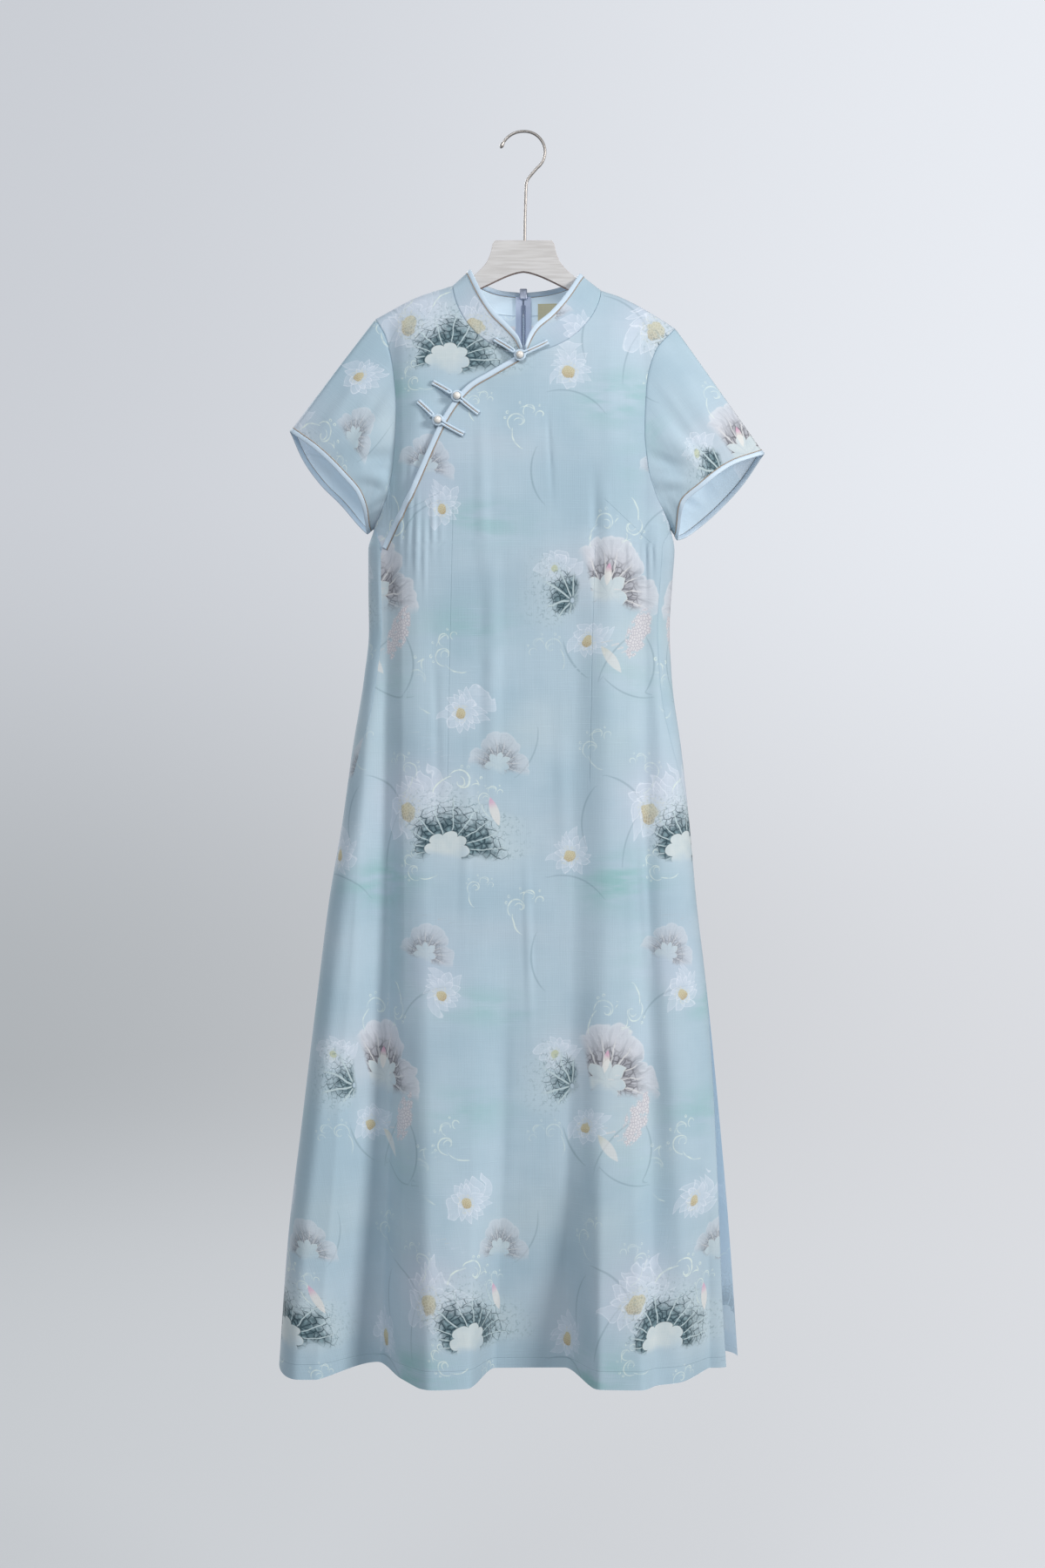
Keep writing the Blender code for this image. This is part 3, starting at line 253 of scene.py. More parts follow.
# Smaller creases of the cloth than the solids carry.
FRONT_CREASES = (
    Ridge(-122, -340, -127, -478, 1.5, 6.0),
    Ridge(-47, -292, -43, -566, 1.7, 11.0),
    Ridge(77, -360, 82, -566, -2.4, 8.0),
    Ridge(89, -370, 96, -560, 1.7, 8.0),
    Ridge(26, -306, 33, -440, -1.2, 4.5),
    Ridge(2, -776, 9, -1040, 1.5, 7.0),
    Ridge(116, -436, 121, -560, 1.6, 4.6),
    Ridge(-156, -366, -157, -456, 1.5, 2.8),
    Ridge(-150, -370, -151, -462, 1.9, 2.6),
    Ridge(-144, -378, -146, -470, 1.6, 2.8),
    Ridge(-164, -440, -158, -600, 1.2, 4.0),
    Ridge(-100, -520, -92, -820, -1.2, 8.0),
    Ridge(40, -600, 46, -900, 1.1, 12.0),
    Ridge(-20, -900, -28, -1300, -1.3, 14.0),
    Ridge(60, -1000, 52, -1376, 1.4, 12.0),
    Ridge(124, -700, 140, -1000, 1.6, 7.0),
    Ridge(-176, -760, -196, -1180, 1.5, 9.0),
    Ridge(-60, -640, -66, -940, 1.1, 9.0),
)
BACK_CREASES = (
    Ridge(-60, -270, -72, -520, 1.6, 10.0),
    Ridge(66, -280, 74, -540, 1.7, 11.0),
    Ridge(28, -420, 34, -760, -1.3, 12.0),
    Ridge(-30, -480, -36, -800, 1.2, 12.0),
    Ridge(110, -430, 104, -640, -1.6, 9.0),
    Ridge(-112, -440, -106, -650, -1.6, 9.0),
    Ridge(92, -760, 104, -1130, 1.5, 11.0),
    Ridge(-88, -780, -104, -1160, 1.5, 11.0),
    Ridge(20, -900, 14, -1300, 1.2, 14.0),
)

SLEEVE_PUFF = 5.0        # how far the middle of a sleeve swells

# The creases of a sleeve: each lies at a share of the way round, which drifts by slant over the
# sleeve's length, and runs from its start to its end, both shares of that length.
SleeveFold = namedtuple("SleeveFold", "share slant width start end height")
SLEEVE_FOLDS = (
    SleeveFold(0.10, 0.10, 0.035, 0.0, 0.9, 3.0),
    SleeveFold(0.17, 0.07, 0.030, 0.0, 0.7, -2.4),
    SleeveFold(0.25, 0.04, 0.050, 0.1, 1.0, 2.6),
    SleeveFold(0.34, -0.05, 0.040, 0.0, 0.8, -1.8),
    SleeveFold(0.42, -0.03, 0.045, 0.2, 1.0, 1.6),
    SleeveFold(0.60, 0.05, 0.045, 0.1, 0.9, -2.0),
    SleeveFold(0.72, 0.06, 0.055, 0.0, 1.0, 2.8),
    SleeveFold(0.83, -0.08, 0.035, 0.0, 0.8, -2.4),
    SleeveFold(0.91, -0.10, 0.030, 0.0, 0.9, 2.6),
)

# Darts, top to foot: at the bust from the side seam inward, and at the waist.
FRONT_DARTS = (
    ((-126.0, -429.0), (-94.0, -412.0)),
    ((-78.0, -430.0), (-81.0, -560.0), (-82.5, -640.0), (-84.0, -725.0)),
    ((140.0, -464.0), (91.0, -420.0)),
    ((79.0, -470.0), (76.5, -560.0), (75.0, -650.0), (73.0, -731.0)),
)
BACK_DARTS = (
    ((-70.0, -452.0), (-72.0, -560.0), (-73.0, -650.0), (-74.0, -752.0)),
    ((72.0, -448.0), (73.0, -560.0), (74.0, -650.0), (75.0, -748.0)),
)

# ---------------------------------------------------------------- smooth tables

def smooth_through(x, xs, ys):
    """A smooth curve through the points (xs, ys), without overshoot, read at x."""
    step = np.diff(xs, axis=0)
    rise = np.diff(ys, axis=0) / step
    both = rise[1:] * rise[:-1]
    total = np.where(both > 0, rise[1:] + rise[:-1], 1.0)
    middle = np.where(both > 0, 2 * both / total, 0.0)
    slope = np.concatenate([rise[:1], middle, rise[-1:]])
    value = np.where(x < xs[0], ys[0], ys[-1]) + 0.0 * x
    for i in range(len(step)):
        t = (x - xs[i]) / step[i]
        inside = (t >= 0) & (t <= 1)
        t = np.clip(t, 0, 1)
        curve = (ys[i] * (1 + 2 * t) * (1 - t) ** 2
                 + ys[i + 1] * t ** 2 * (3 - 2 * t)
                 + step[i] * slope[i] * t * (1 - t) ** 2
                 + step[i] * slope[i + 1] * t ** 2 * (t - 1))
        value = np.where(inside, curve, value)
    return value


def smoothstep(t):
    t = np.clip(t, 0, 1)
    return t * t * (3 - 2 * t)


OUTLINE_Z, OUTLINE_LEFT, OUTLINE_RIGHT = np.array(OUTLINE, float).T
SHOULDER_X, SHOULDER_Z = np.array(SHOULDER, float).T


def half_outline(z, side):
    """The body's edge at a height, on the side whose sign is given."""
    return smooth_through(z, OUTLINE_Z, OUTLINE_RIGHT if side > 0 else OUTLINE_LEFT)


def shoulder_line(x):
    return smooth_through(x, SHOULDER_X, SHOULDER_Z)


def fold_depth(table, x, z):
    """The depth that a table of folds gives at x and z, before the edges round away."""
    heights = np.array(FOLD_HEIGHTS[::-1])
    at = []
    depth = []
    for fold in table:
        places, depths = np.array(fold[1:], float).reshape(-1, 2)[::-1].T
        at.append(smooth_through(z, heights, places))
        depth.append(smooth_through(z, heights, depths))
    return smooth_through(x, np.array(at), np.array(depth))


def round_edge(x, z, width):
    """1 inside the body, falling to 0 at its outline as a quarter of a circle does."""
    left = x - half_outline(z, -1)
    right = half_outline(z, 1) - x
    inset = np.clip(np.minimum(left, right) / width, 0, 1)
    return np.sqrt(1 - (1 - inset) ** 2)


def over_shoulder(x, z, spread):
    """How much of its full depth the cloth has, below the shoulder line."""
    drop = np.maximum(shoulder_line(x) - z, 0)
    ridge = np.sqrt(1 - (1 - np.clip(drop / RIDGE, 0, 1)) ** 2)
    return ridge, 1 - np.exp(-drop / spread)


def edge_width(z):
    """The width over which the body's edges round away, larger at the armholes."""
    return 26 + 34 * smoothstep((z - UNDERARM + 20) / 90)


def slit_spread(z):
    """How far front and back stand off the side seam's plane, below the slits' top."""
    return 5 * smoothstep((SLIT_TOP - z) / 400)


def ease_ridges():
    """The small pleats of the eased cloth beside the bust darts, on both sides."""
    ridges = [WAIST_RIPPLE]
    for i, height in enumerate(LEFT_EASE):
        ridges.append(Ridge(-134 + 8.6 * i, -404 + 7 * (i % 3), -138 + 9.6 * i, -492 - 16 * (i % 4),
                            height * 0.8, EASE_WIDTH))
    for i, height in enumerate(RIGHT_EASE):
        ridges.append(Ridge(146 - 7.2 * i, -440 + 9 * (i % 3), 149 - 8.4 * i, -512 - 15 * (i % 4),
                            height * 0.8, EASE_WIDTH * 0.9))
    return ridges + list(FRONT_CREASES)


def ridge_depth(ridge, x, z):
    along = (ridge.z_top - z) / (ridge.z_top - ridge.z_foot)
    middle = ridge.x_top + (ridge.x_foot - ridge.x_top) * along
    across = np.clip(np.abs(x - middle) / ridge.width, 0, 1)
    fade = np.sin(np.pi * np.clip(along, 0, 1)) ** 2
    return ridge.height * fade * 0.5 * (1 + np.cos(np.pi * across))


def front_y(x, z):
    """The inner face of the front, in the frame's Y."""
    x = np.asarray(x, float)
    z = np.asarray(z, float)
    ridge, ramp = over_shoulder(x, z, 60)
    full = fold_depth(FRONT_FOLDS, x, z)
    depth = round_edge(x, z, edge_width(z)) * (RIDGE * ridge + ramp * (full - RIDGE * 0.6))
    for small in ease_ridges():
        depth = depth + ridge_depth(small, x, z)
    return -depth - slit_spread(z)


def back_y(x, z):
    """The inner face of the back, in the frame's Y."""
    x = np.asarray(x, float)
    z = np.asarray(z, float)
    ridge, ramp = over_shoulder(x, z, 30)
    full = fold_depth(BACK_FOLDS, x, z)
    depth = round_edge(x, z, 22) * (RIDGE * ridge + ramp * (full - RIDGE * 0.6))
    for small in BACK_CREASES:
        depth = depth + ridge_depth(small, x, z)
    return depth + slit_spread(z)


# ---------------------------------------------------------------- paths and seams

def run_length(points):
    """The length of a line up to each of its points."""
    step = np.linalg.norm(np.diff(points, axis=0), axis=1)
    return np.concatenate([[0], np.cumsum(step)])


def shares_along(points):
    run = run_length(points)
    return run / run[-1]


def grid_runs(grid, axis):
    """The length of a grid's rows, or along axis 0 its columns, up to each point."""
    run = np.cumsum(np.linalg.norm(np.diff(grid, axis=axis), axis=2), axis=axis)
    return np.concatenate([np.zeros_like(run.take([0], axis=axis)), run], axis=axis)


def read_at(at, run, points):
    """The points of a line at the given lengths along it."""
    return np.column_stack([np.interp(at, run, points[:, k]) for k in range(points.shape[1])])


def curve_at(points, shares):
    """Points at the given shares of the length of a smooth curve through the given ones."""
    knots = np.array([tuple(point) for point in points], float)
    run = run_length(knots)
    fine = np.linspace(0, run[-1], FINE)
    smooth = np.column_stack([smooth_through(fine, run, knots[:, k])
                              for k in range(knots.shape[1])])
    length = run_length(smooth)
    return read_at(np.asarray(shares) * length[-1], length, smooth)


def even_path(points, count, weight=None):
    """count + 1 points along a fine path, closer together where weight is high."""
    run = run_length(points)
    kept = np.linspace(0, run[-1], FINE)
    dense = np.ones(FINE) if weight is None else np.interp(kept, run, weight)
    load = np.concatenate([[0], np.cumsum(0.5 * (dense[1:] + dense[:-1]))])
    return read_at(np.interp(np.linspace(0, load[-1], count + 1), load, kept), run, points)


def line_between(start, end, arch, side):
    """Samples from an outer point to an inner one, arched as the shoulder is by that share."""
    t = 0.5 * (1 - np.cos(np.linspace(0, math.pi, FINE)))
    x = start[0] + (end[0] - start[0]) * t
    z = start[1] + (end[1] - start[1]) * t
    if arch > 0:
        neck = NECK_RIGHT if side > 0 else NECK_LEFT
        tip = SHOULDER_TIP_RIGHT if side > 0 else SHOULDER_TIP_LEFT
        line = shoulder_line(tip) + (shoulder_line(neck) - shoulder_line(tip)) * t
        z = z + arch * (shoulder_line(tip + (neck - tip) * t) - line)
    return x, z


def arch_share(k):
    """How much of the shoulder's arch the k-th row above the underarm takes on."""
    return float(smoothstep((k / UPPER_ROWS - 0.35) / 0.45))


def side_edge(z, side, inset=0.0):
    """The side seam's X, and below the slits' top an edge that draws in by inset."""
    top = smoothstep((UNDERARM - z) / 26)
    foot = 1 - smoothstep((-640 - z) / 150)
    drawn_in = inset * smoothstep((SLIT_TOP - 30 - z) / 430)
    return float(half_outline(z, side) - side * (SIDE_WRAP * top * foot + drawn_in))


def hem_height(z, depth):
    """A point's height once the hem's rise and fall are spread up the skirt."""
    share = np.clip((UNDERARM - z) / (UNDERARM - HEM), 0, 1) ** 2
    return z + share * HEM_DROP * (1 - 2 * np.clip(depth / 86, 0, 1))


def neck_curve(side, back=False):
    """The collar's seam, from the opening at the front or the zip to the shoulder."""
    neck_x = NECK_RIGHT if side > 0 else NECK_LEFT
    neck_z = shoulder_line(neck_x)
    angle = np.linspace(0, math.pi / 2, NECK_ROWS + 1)
    middle = 0.0 if back else NECK_FRONT[0]
    low = NECK_BACK_HEIGHT if back else NECK_FRONT[1]
    x = middle + (neck_x - middle) * np.sin(angle)
    z = neck_z + (low - neck_z) * np.cos(angle) ** (1.0 if back else 1.15)
    return np.column_stack([x, z])


def placket_curve(inset, count):
    """The placket from the side seam to the neck, moved towards the front by inset."""
    points = curve_at(PLACKET[::-1], np.linspace(0, 1, count + 1))
    along = np.gradient(points, axis=0)
    along /= np.linalg.norm(along, axis=1)[:, None]
    across = np.column_stack([along[:, 1], -along[:, 0]])
    return points + inset * across


def beyond_placket(x, z):
    """Distance from the placket, positive on the underlap's side of it."""
    curve = curve_at(PLACKET[::-1], np.linspace(0, 1, 60))
    along = np.gradient(curve, axis=0)
    apart = np.stack([x, z], axis=-1)[:, None, :] - curve
    nearest = np.argmin(np.linalg.norm(apart, axis=2), axis=1)
    offset = apart[np.arange(len(x)), nearest]
    heading = along[nearest]
    turn = heading[:, 0] * offset[:, 1] - heading[:, 1] * offset[:, 0]
    return np.sign(turn) * np.linalg.norm(offset, axis=1)


def fine_weight(x, z):
    """More columns where the eased cloth has its small pleats."""
    band = smoothstep((z + 620) / 60) * (1 - smoothstep((z + 390) / 40))
    left = smoothstep((x + 168) / 10) * (1 - smoothstep((x + 100) / 10))
    right = smoothstep((x - 92) / 8) * (1 - smoothstep((x - 156) / 10))
    return 1 + 1.6 * band * (left + right)


def on_face(face, points):
    """Points given in X and Z, set on the front's or the back's inner face."""
    x, z = points.T
    return np.column_stack([x, face(x, z), z])


def cloth_row(path, count, weight=None):
    row = even_path(path, count, weight)
    row[:, 2] = hem_height(row[:, 2], -row[:, 1])
    return row


# ---------------------------------------------------------------- grids of cloth

def front_grid():
    """The front: hem to collar on the right, and up to the placket on the left."""
    placket = placket_curve(1.0, PLACKET_ROWS - 1)
    left = [(side_edge(z, -1), z) for z in np.linspace(HEM, PLACKET_END - 7, LOWER_ROWS)]
    right = [(side_edge(z, 1, FRONT_INSET), z)
             for z in np.linspace(HEM, UNDERARM - 7, LOWER_ROWS)]
    left += [tuple(point) for point in np.concatenate([placket, neck_curve(1)])]
    right += [tuple(point) for point in armhole_line(FRONT_ARMHOLE_RIGHT)]
    rows = []
    for i, (start, end) in enumerate(zip(left, right)):
        x, z = line_between(end, start, arch_share(max(0, i - LOWER_ROWS)), 1)
        path = on_face(front_y, np.column_stack([x, z]))[::-1]
        rows.append(cloth_row(path, FRONT_COLUMNS, fine_weight(path[:, 0], path[:, 2])))
    return np.array(rows)


def armhole_line(points):
    return curve_at(points, np.linspace(0, 1, UPPER_ROWS + 1))


def lap_grid():
    """The left of the chest, which runs on under the front behind the placket."""
    seam = [(side_edge(z, -1), z) for z in LAP_SIDE]
    outer = np.concatenate([seam, armhole_line(FRONT_ARMHOLE_LEFT)])
    inner = np.concatenate([placket_curve(PLACKET_LAP, PLACKET_ROWS + len(seam))[:-1],
                            neck_curve(-1)])
    rows = []
    for k in range(len(outer)):
        x, z = line_between(outer[k], inner[k], arch_share(max(0, k - len(seam))), -1)
        lap = LAP_DEPTH * (1 - smoothstep((beyond_placket(x, z) - 4) / 25))
        rows.append(cloth_row(np.column_stack([x, front_y(x, z) + lap, z]), LAP_COLUMNS))
    return np.array(rows)


def back_path(outer, centre, side, arch):
    """Samples from the side seam, round the outline where it wraps, to the back's centre."""
    reach = float(half_outline(outer[1], side))
    wrap = abs(reach - outer[0]) if SLIT_TOP < outer[1] < UNDERARM else 0.0
    x, z = line_between((reach, outer[1]) if wrap > 0.05 else outer, centre, arch, side)
    path = on_face(back_y, np.column_stack([x, z]))
    if wrap > 0.05:
        t = np.linspace(1, 0, 90) ** 2
        turn = np.column_stack([reach - side * wrap * t, np.full(len(t), outer[1])])
        path = np.concatenate([on_face(front_y, turn)[:-1], path])
    return path


def back_grid(side, armhole):
    """Half of the back, from the side seam to the zip."""
    foot = UNDERARM - 7 if side > 0 else PLACKET_END - 7
    heights = np.linspace(HEM, foot, LOWER_ROWS)
    if side < 0:
        heights = np.append(heights, LAP_SIDE)
    outer = [(side_edge(z, side, 0.0 if side > 0 else BACK_INSET), z) for z in heights]
    centre = [(0.0, z) for z in heights]
    outer += [tuple(point) for point in armhole_line(armhole)]
    centre += [(0.0, z) for z in np.linspace(UNDERARM, NECK_BACK_HEIGHT, PLACKET_ROWS + 1)]
    centre += [tuple(point) for point in neck_curve(side, back=True)[1:]]
    rows = []
    for i, (start, end) in enumerate(zip(outer, centre)):
        path = back_path(start, end, side, arch_share(max(0, i - len(heights))))
        rows.append(cloth_row(path, BACK_COLUMNS))
    return np.array(rows)


def sleeve_grid(side, front_armhole, back_armhole, cuff_front, cuff_back):
    """Rings from the armhole to the cuff, each from the underarm over the front and back."""
    front = on_face(front_y, armhole_line(front_armhole))
    back = on_face(back_y, armhole_line(back_armhole))
    top = 0.5 * (front[-1] + back[-1])
    armhole = np.concatenate([front[:-1], [top], back[-2::-1]])
    armhole[0] = armhole[-1] = 0.5 * (front[0] + back[0])
    cuff = np.concatenate([curve_at(cuff_front[::-1], shares_along(front)),
                           curve_at(cuff_back, shares_along(back[::-1]))[1:]])
    cuff[0] = cuff[-1] = 0.5 * (cuff[0] + cuff[-1])
    length = np.linalg.norm(cuff - armhole, axis=1)[:, None]
    puff = SLEEVE_PUFF * np.clip(length / 140, 0, 1)
    swell = np.column_stack([0 * puff, np.sign(armhole[:, 1:2]) * 0.8 * puff, 0.3 * puff])
    rings = []
    for t in np.linspace(0, 1, SLEEVE_RINGS + 1):
        rings.append(armhole + (cuff - armhole) * t + 4 * t * (1 - t) * swell)
    grid = np.array(rings)
    share = np.linspace(0, 1, grid.shape[1])[None, :]
    down = np.linspace(0, 1, SLEEVE_RINGS + 1)[:, None]
    crease = np.zeros(grid.shape[:2])
    for fold in SLEEVE_FOLDS:
        middle = fold.share + fold.slant * (down - fold.start)
        across = np.clip(np.abs(share - middle) / fold.width, 0, 1)
        fade = np.sin(np.pi * np.clip((down - fold.start) / (fold.end - fold.start), 0, 1))
        crease += fold.height * fade * 0.5 * (1 + np.cos(np.pi * across))
    normals = grid_normals(grid, side > 0)
    return grid + normals * (crease * np.sin(np.pi * np.clip(down * 1.02, 0, 1)) ** 0.4)[..., None]


def grid_normals(grid, flip):
    """Unit normals of a grid of rows by columns, pointing out of the dress."""
    normals = np.cross(np.gradient(grid, axis=1), np.gradient(grid, axis=0))
    size = np.linalg.norm(normals, axis=2, keepdims=True)
    return (-normals if flip else normals) / np.maximum(size, 1e-9)


def row_places(grid, last):
    """Each point's place on the flat cloth: along its row from the middle, and its height.

    With last, the length is measured back from the last column.
    """
    run = grid_runs(grid[:, :, :2], 1)
    if last:
        return np.stack([grid[:, -1:, 0] + np.sign(grid[:, :1, 0]) * (run[:, -1:] - run),
                         grid[:, :, 2]], axis=-1)
    places = np.empty(grid.shape[:2] + (2,))
    for i, row in enumerate(grid):
        order = np.argsort(row[:, 0])
        at = np.clip(0.0, row[order[0], 0], row[order[-1], 0])
        zero = np.interp(at, row[order, 0], run[i, order])
        places[i, :, 0] = at + (run[i] - zero) * np.sign(row[-1, 0] - row[0, 0])
        places[i, :, 1] = row[:, 2]
    return places


def sealed(grid, name):
    """A lifted panel whose last row meets the shoulder line and last column the back's centre."""
    grid = grid.copy()
    if name.startswith(("front", "back")):
        grid[-1, :, 1] = 0
    if name.startswith("back"):
        grid[:, -1, 0] = np.where(grid[:, -1, 2] < NECK_BACK_HEIGHT + 1, 0, grid[:, -1, 0])
    return grid


def cloth_object(name, grid, places, material, fields, flip, lift=CLOTH):
    """A sheet through a grid of points, lifted off its inner face, with the print's fields."""
    grid = grid + grid_normals(grid, flip) * lift
    grid = sealed(grid, name)
    height, width = grid.shape[:2]
    index = np.arange(height * width).reshape(height, width)
    quads = np.stack([index[:-1, :-1], index[:-1, 1:], index[1:, 1:], index[1:, :-1]], axis=-1)
    quads = quads.reshape(-1, 4)
    if flip:
        quads = quads[:, ::-1]
    mesh = bpy.data.meshes.new(name)
    mesh.vertices.add(height * width)
    mesh.vertices.foreach_set("co", (grid.reshape(-1) * MM).astype(np.float32))
    mesh.loops.add(quads.size)
    mesh.loops.foreach_set("vertex_index", quads.reshape(-1).astype(np.int32))
    mesh.polygons.add(len(quads))
    mesh.polygons.foreach_set("loop_start", np.arange(0, quads.size, 4, dtype=np.int32))
    mesh.update(calc_edges=True)
    uv = mesh.uv_layers.new(name="UVMap")
    flat = places.reshape(-1, 2)[quads.reshape(-1)] * MM
    uv.data.foreach_set("uv", flat.reshape(-1).astype(np.float32))
    for key, value in fields.items():
        layer = mesh.attributes.new(key, "FLOAT_VECTOR", "POINT")
        layer.data.foreach_set("vector", value.reshape(-1).astype(np.float32))
    mesh.shade_smooth()
    return finish_piece(name, mesh, material)


def in_scene(name, data):
    """A new object in the scene."""
    obj = bpy.data.objects.new(name, data)
    bpy.context.scene.collection.objects.link(obj)
    return obj


def finish_piece(name, mesh, material):
    """A piece of the dress, with its finish."""
    obj = in_scene(name, mesh)
    mesh.materials.append(material)
    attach(obj, "dress")
    return obj


# ---------------------------------------------------------------- the print's layout

# The print repeats every TILE_WIDTH across and TILE_HEIGHT down. Every motif's place is
# measured from the great leaf's, and turned clockwise by its angle in degrees.
TILE_WIDTH = 272.0
TILE_HEIGHT = 536.0

# Where the great leaf lies on each panel's flat cloth.
LEAF_AT = {
    "front_main": (-84.0, -805.0),
    "front_underlap": (-84.0, -264.0),
    "back_left": (-32.0, -809.0),
    "back_right": (-32.0, -809.0),
    "sleeve_left": (27.0, -56.0),
    "sleeve_right": (-196.0, 260.0),
    "collar_left": (-16.0, -38.0),
    "collar_right": (68.0, 150.0),
}

# Leaves: a fan of netted veins round a scalloped hollow. hole is the hollow's share of the
# leaf's radius, and tone 0 is teal and 1 mauve.
Leaf = namedtuple("Leaf", "name x z turn size hole tone strength")
LEAVES = (
    Leaf("great leaf", 0, 0, -4, 58, 0.42, 0.0, 1.0),
    Leaf("shell leaf", 178, -254, 4, 66, 0.34, 1.0, 1.0),
    Leaf("ray leaf", 138, -260, -82, 54, 0.05, 0.0, 1.0),
    Leaf("faint leaf", -24, -115, 14, 35, 0.34, 1.0, 0.60),
    Leaf("folded leaf", 56, 94, 6, 37, 0.34, 1.0, 0.62),
)

# Flowers: a lotus with pointed petals round a seed pod, which is gold, or yellow-green where
# it is smaller than 0.18 of the flower's radius.
Flower = namedtuple("Flower", "name x z turn size petals pod strength")
FLOWERS = (
    Flower("great lotus", -42, 42, 6, 54, 7, 0.24, 0.85),
    Flower("star lotus", 134, -8, 12, 34, 8, 0.24, 0.8),
    Flower("low lotus", -6, -160, -30, 33, 7, 0.22, 0.85),
    Flower("pale lotus", 14, 150, 24, 36, 7, 0.21, 0.95),
    Flower("little lotus", 118, -226, 30, 30, 6, 0.17, 0.9),
    Flower("shell lotus", 154, -306, 10, 31, 6, 0.25, 0.8),
)

# Buds: small pointed petals, and wedges of beads where beads is 1.
Bud = namedtuple("Bud", "name x z turn size tone strength beads")
BUDS = (
    Bud("pink bud", 52, 42, -18, 17, 1.0, 0.9, 0),
    Bud("shell bud", 178, -232, 8, 13, 1.0, 0.9, 0),
    Bud("cream bud", 182, -326, -38, 19, 0.0, 0.7, 0),
    Bud("seed bunch", 214, -296, 24, 34, 0.4, 0.9, 1),
)

# Waves: a breaking crest of pale curls. A flip of -1 turns it over.
Wave = namedtuple("Wave", "x z turn size flip strength")
WAVES = (
    Wave(14, 76, 62, 30, 1, 1.0),
    Wave(42, 56, -20, 19, 1, 0.8),
    Wave(-36, -24, -88, 22, 1, 0.8),
    Wave(30, -42, -4, 19, 1, 0.8),
    Wave(78, -64, -14, 27, 1, 0.9),
    Wave(-34, 186, -26, 34, 1, 0.9),
    Wave(-4, 214, -60, 26, 1, 0.8),
    Wave(-96, -176, 30, 28, 1, 0.7),
    Wave(208, -178, 170, 28, 1, 0.8),
    Wave(228, 88, 200, 24, -1, 0.6),
    Wave(160, 112, -34, 24, 1, 0.6),
    Wave(116, -312, 160, 24, -1, 0.5),
    Wave(236, -352, -120, 28, 1, 0.8),
)

# Brush lines: each is an arc of a spiral. start and sweep are in degrees, and the radius goes
# from radius to end_radius along the stroke.
Stroke = namedtuple("Stroke", "x z radius end_radius start sweep width")
DARK_STROKES = (
    Stroke(-120, 20, 66, 78, 70, -62, 1.6),
    Stroke(120, -84, 62, 54, 30, 70, 1.2),
    Stroke(150, -130, 50, 64, 210, -66, 1.4),
    Stroke(214, 40, 58, 70, 150, 60, 1.3),
    Stroke(300, 10, 90, 110, 160, 36, 1.1),
    Stroke(10, -206, 56, 66, 100, 66, 1.2),
    Stroke(40, 140, 70, 60, -60, 56, 1.0),
    Stroke(-60, 236, 60, 70, 230, 56, 1.2),
    Stroke(180, 196, 48, 60, -30, 76, 1.4),
    Stroke(250, 170, 80, 84, 120, 50, 1.1),
    Stroke(186, -290, 60, 64, 196, 44, 1.6),
)

# The motifs whose places the cloth's points carry, with what the shader has to know of each.
MOTIFS = (
    ("leaf", LEAVES, lambda row: (row.hole, row.tone, row.strength)),
    ("flower", FLOWERS, lambda row: (row.petals, row.pod, row.strength)),
    ("bud", BUDS, lambda row: (row.tone, row.beads, row.strength)),
    ("wave", WAVES, lambda row: (row.flip, 0, row.strength)),
)
MOTIF_REACH = 110        # no motif reaches further than this from its place
FAR = 9.0                # the distance in radii that stands for no motif near
LINE_REACH = 12          # no line is looked for further away than this

# Washes of colour: soft ovals, tone -1 lavender, 0 pale and 1 sea green.
Wash = namedtuple("Wash", "x z wide high turn tone strength")
WASHES = (
    Wash(30, -172, 74, 26, 8, 1.0, 1.3),
    Wash(-86, -34, 50, 34, -30, 1.0, 1.2),
    Wash(196, -36, 60, 22, -6, 1.0, 1.0),
    Wash(-40, 60, 60, 52, 0, -1.0, 0.7),
    Wash(122, 20, 46, 50, 20, -0.4, 0.6),
    Wash(170, -226, 74, 44, 0, -0.8, 0.5),
    Wash(-18, -130, 40, 54, 0, -1.0, 0.6),
    Wash(-2, 34, 66, 52, 10, -0.3, 1.1),
    Wash(46, 14, 44, 36, 20, 0.0, 0.9),
    Wash(150, -236, 76, 46, 0, -0.3, 0.8),
    Wash(206, -296, 44, 52, 20, 0.0, 0.8),
    Wash(90, 130, 70, 40, -15, 0.0, 0.6),
    Wash(-70, 190, 58, 30, 10, 0.8, 0.7),
    Wash(20, 250, 60, 30, 0, 1.0, 1.1),
    Wash(190, 110, 40, 60, 0, 0.3, 0.6),
    Wash(60, -90, 80, 20, 5, -0.5, 0.5),
    Wash(210, -110, 34, 60, 0, 0.9, 0.5),
)


def repeated(table, origin, low, high):
    """The rows of a table at every repeat that may touch a stretch of cloth, and their places."""
    rows = []
    for i in range(-4, 5):
        for j in range(-4, 5):
            for row in table:
                x = row.x + (origin[0] + i * TILE_WIDTH)
                z = row.z + (origin[1] + j * TILE_HEIGHT)
                if (low[0] - MOTIF_REACH < x < high[0] + MOTIF_REACH
                        and low[1] - MOTIF_REACH < z < high[1] + MOTIF_REACH):
                    rows.append((row, x, z))
    return rows


def local_place(places, x, z, turn):
    """Places measured from a motif's centre, along its own right and up."""
    right = places[..., 0] - x
    up = places[..., 1] - z
    angle = math.radians(turn)
    return (right * math.cos(angle) - up * math.sin(angle),
            right * math.sin(angle) + up * math.cos(angle))


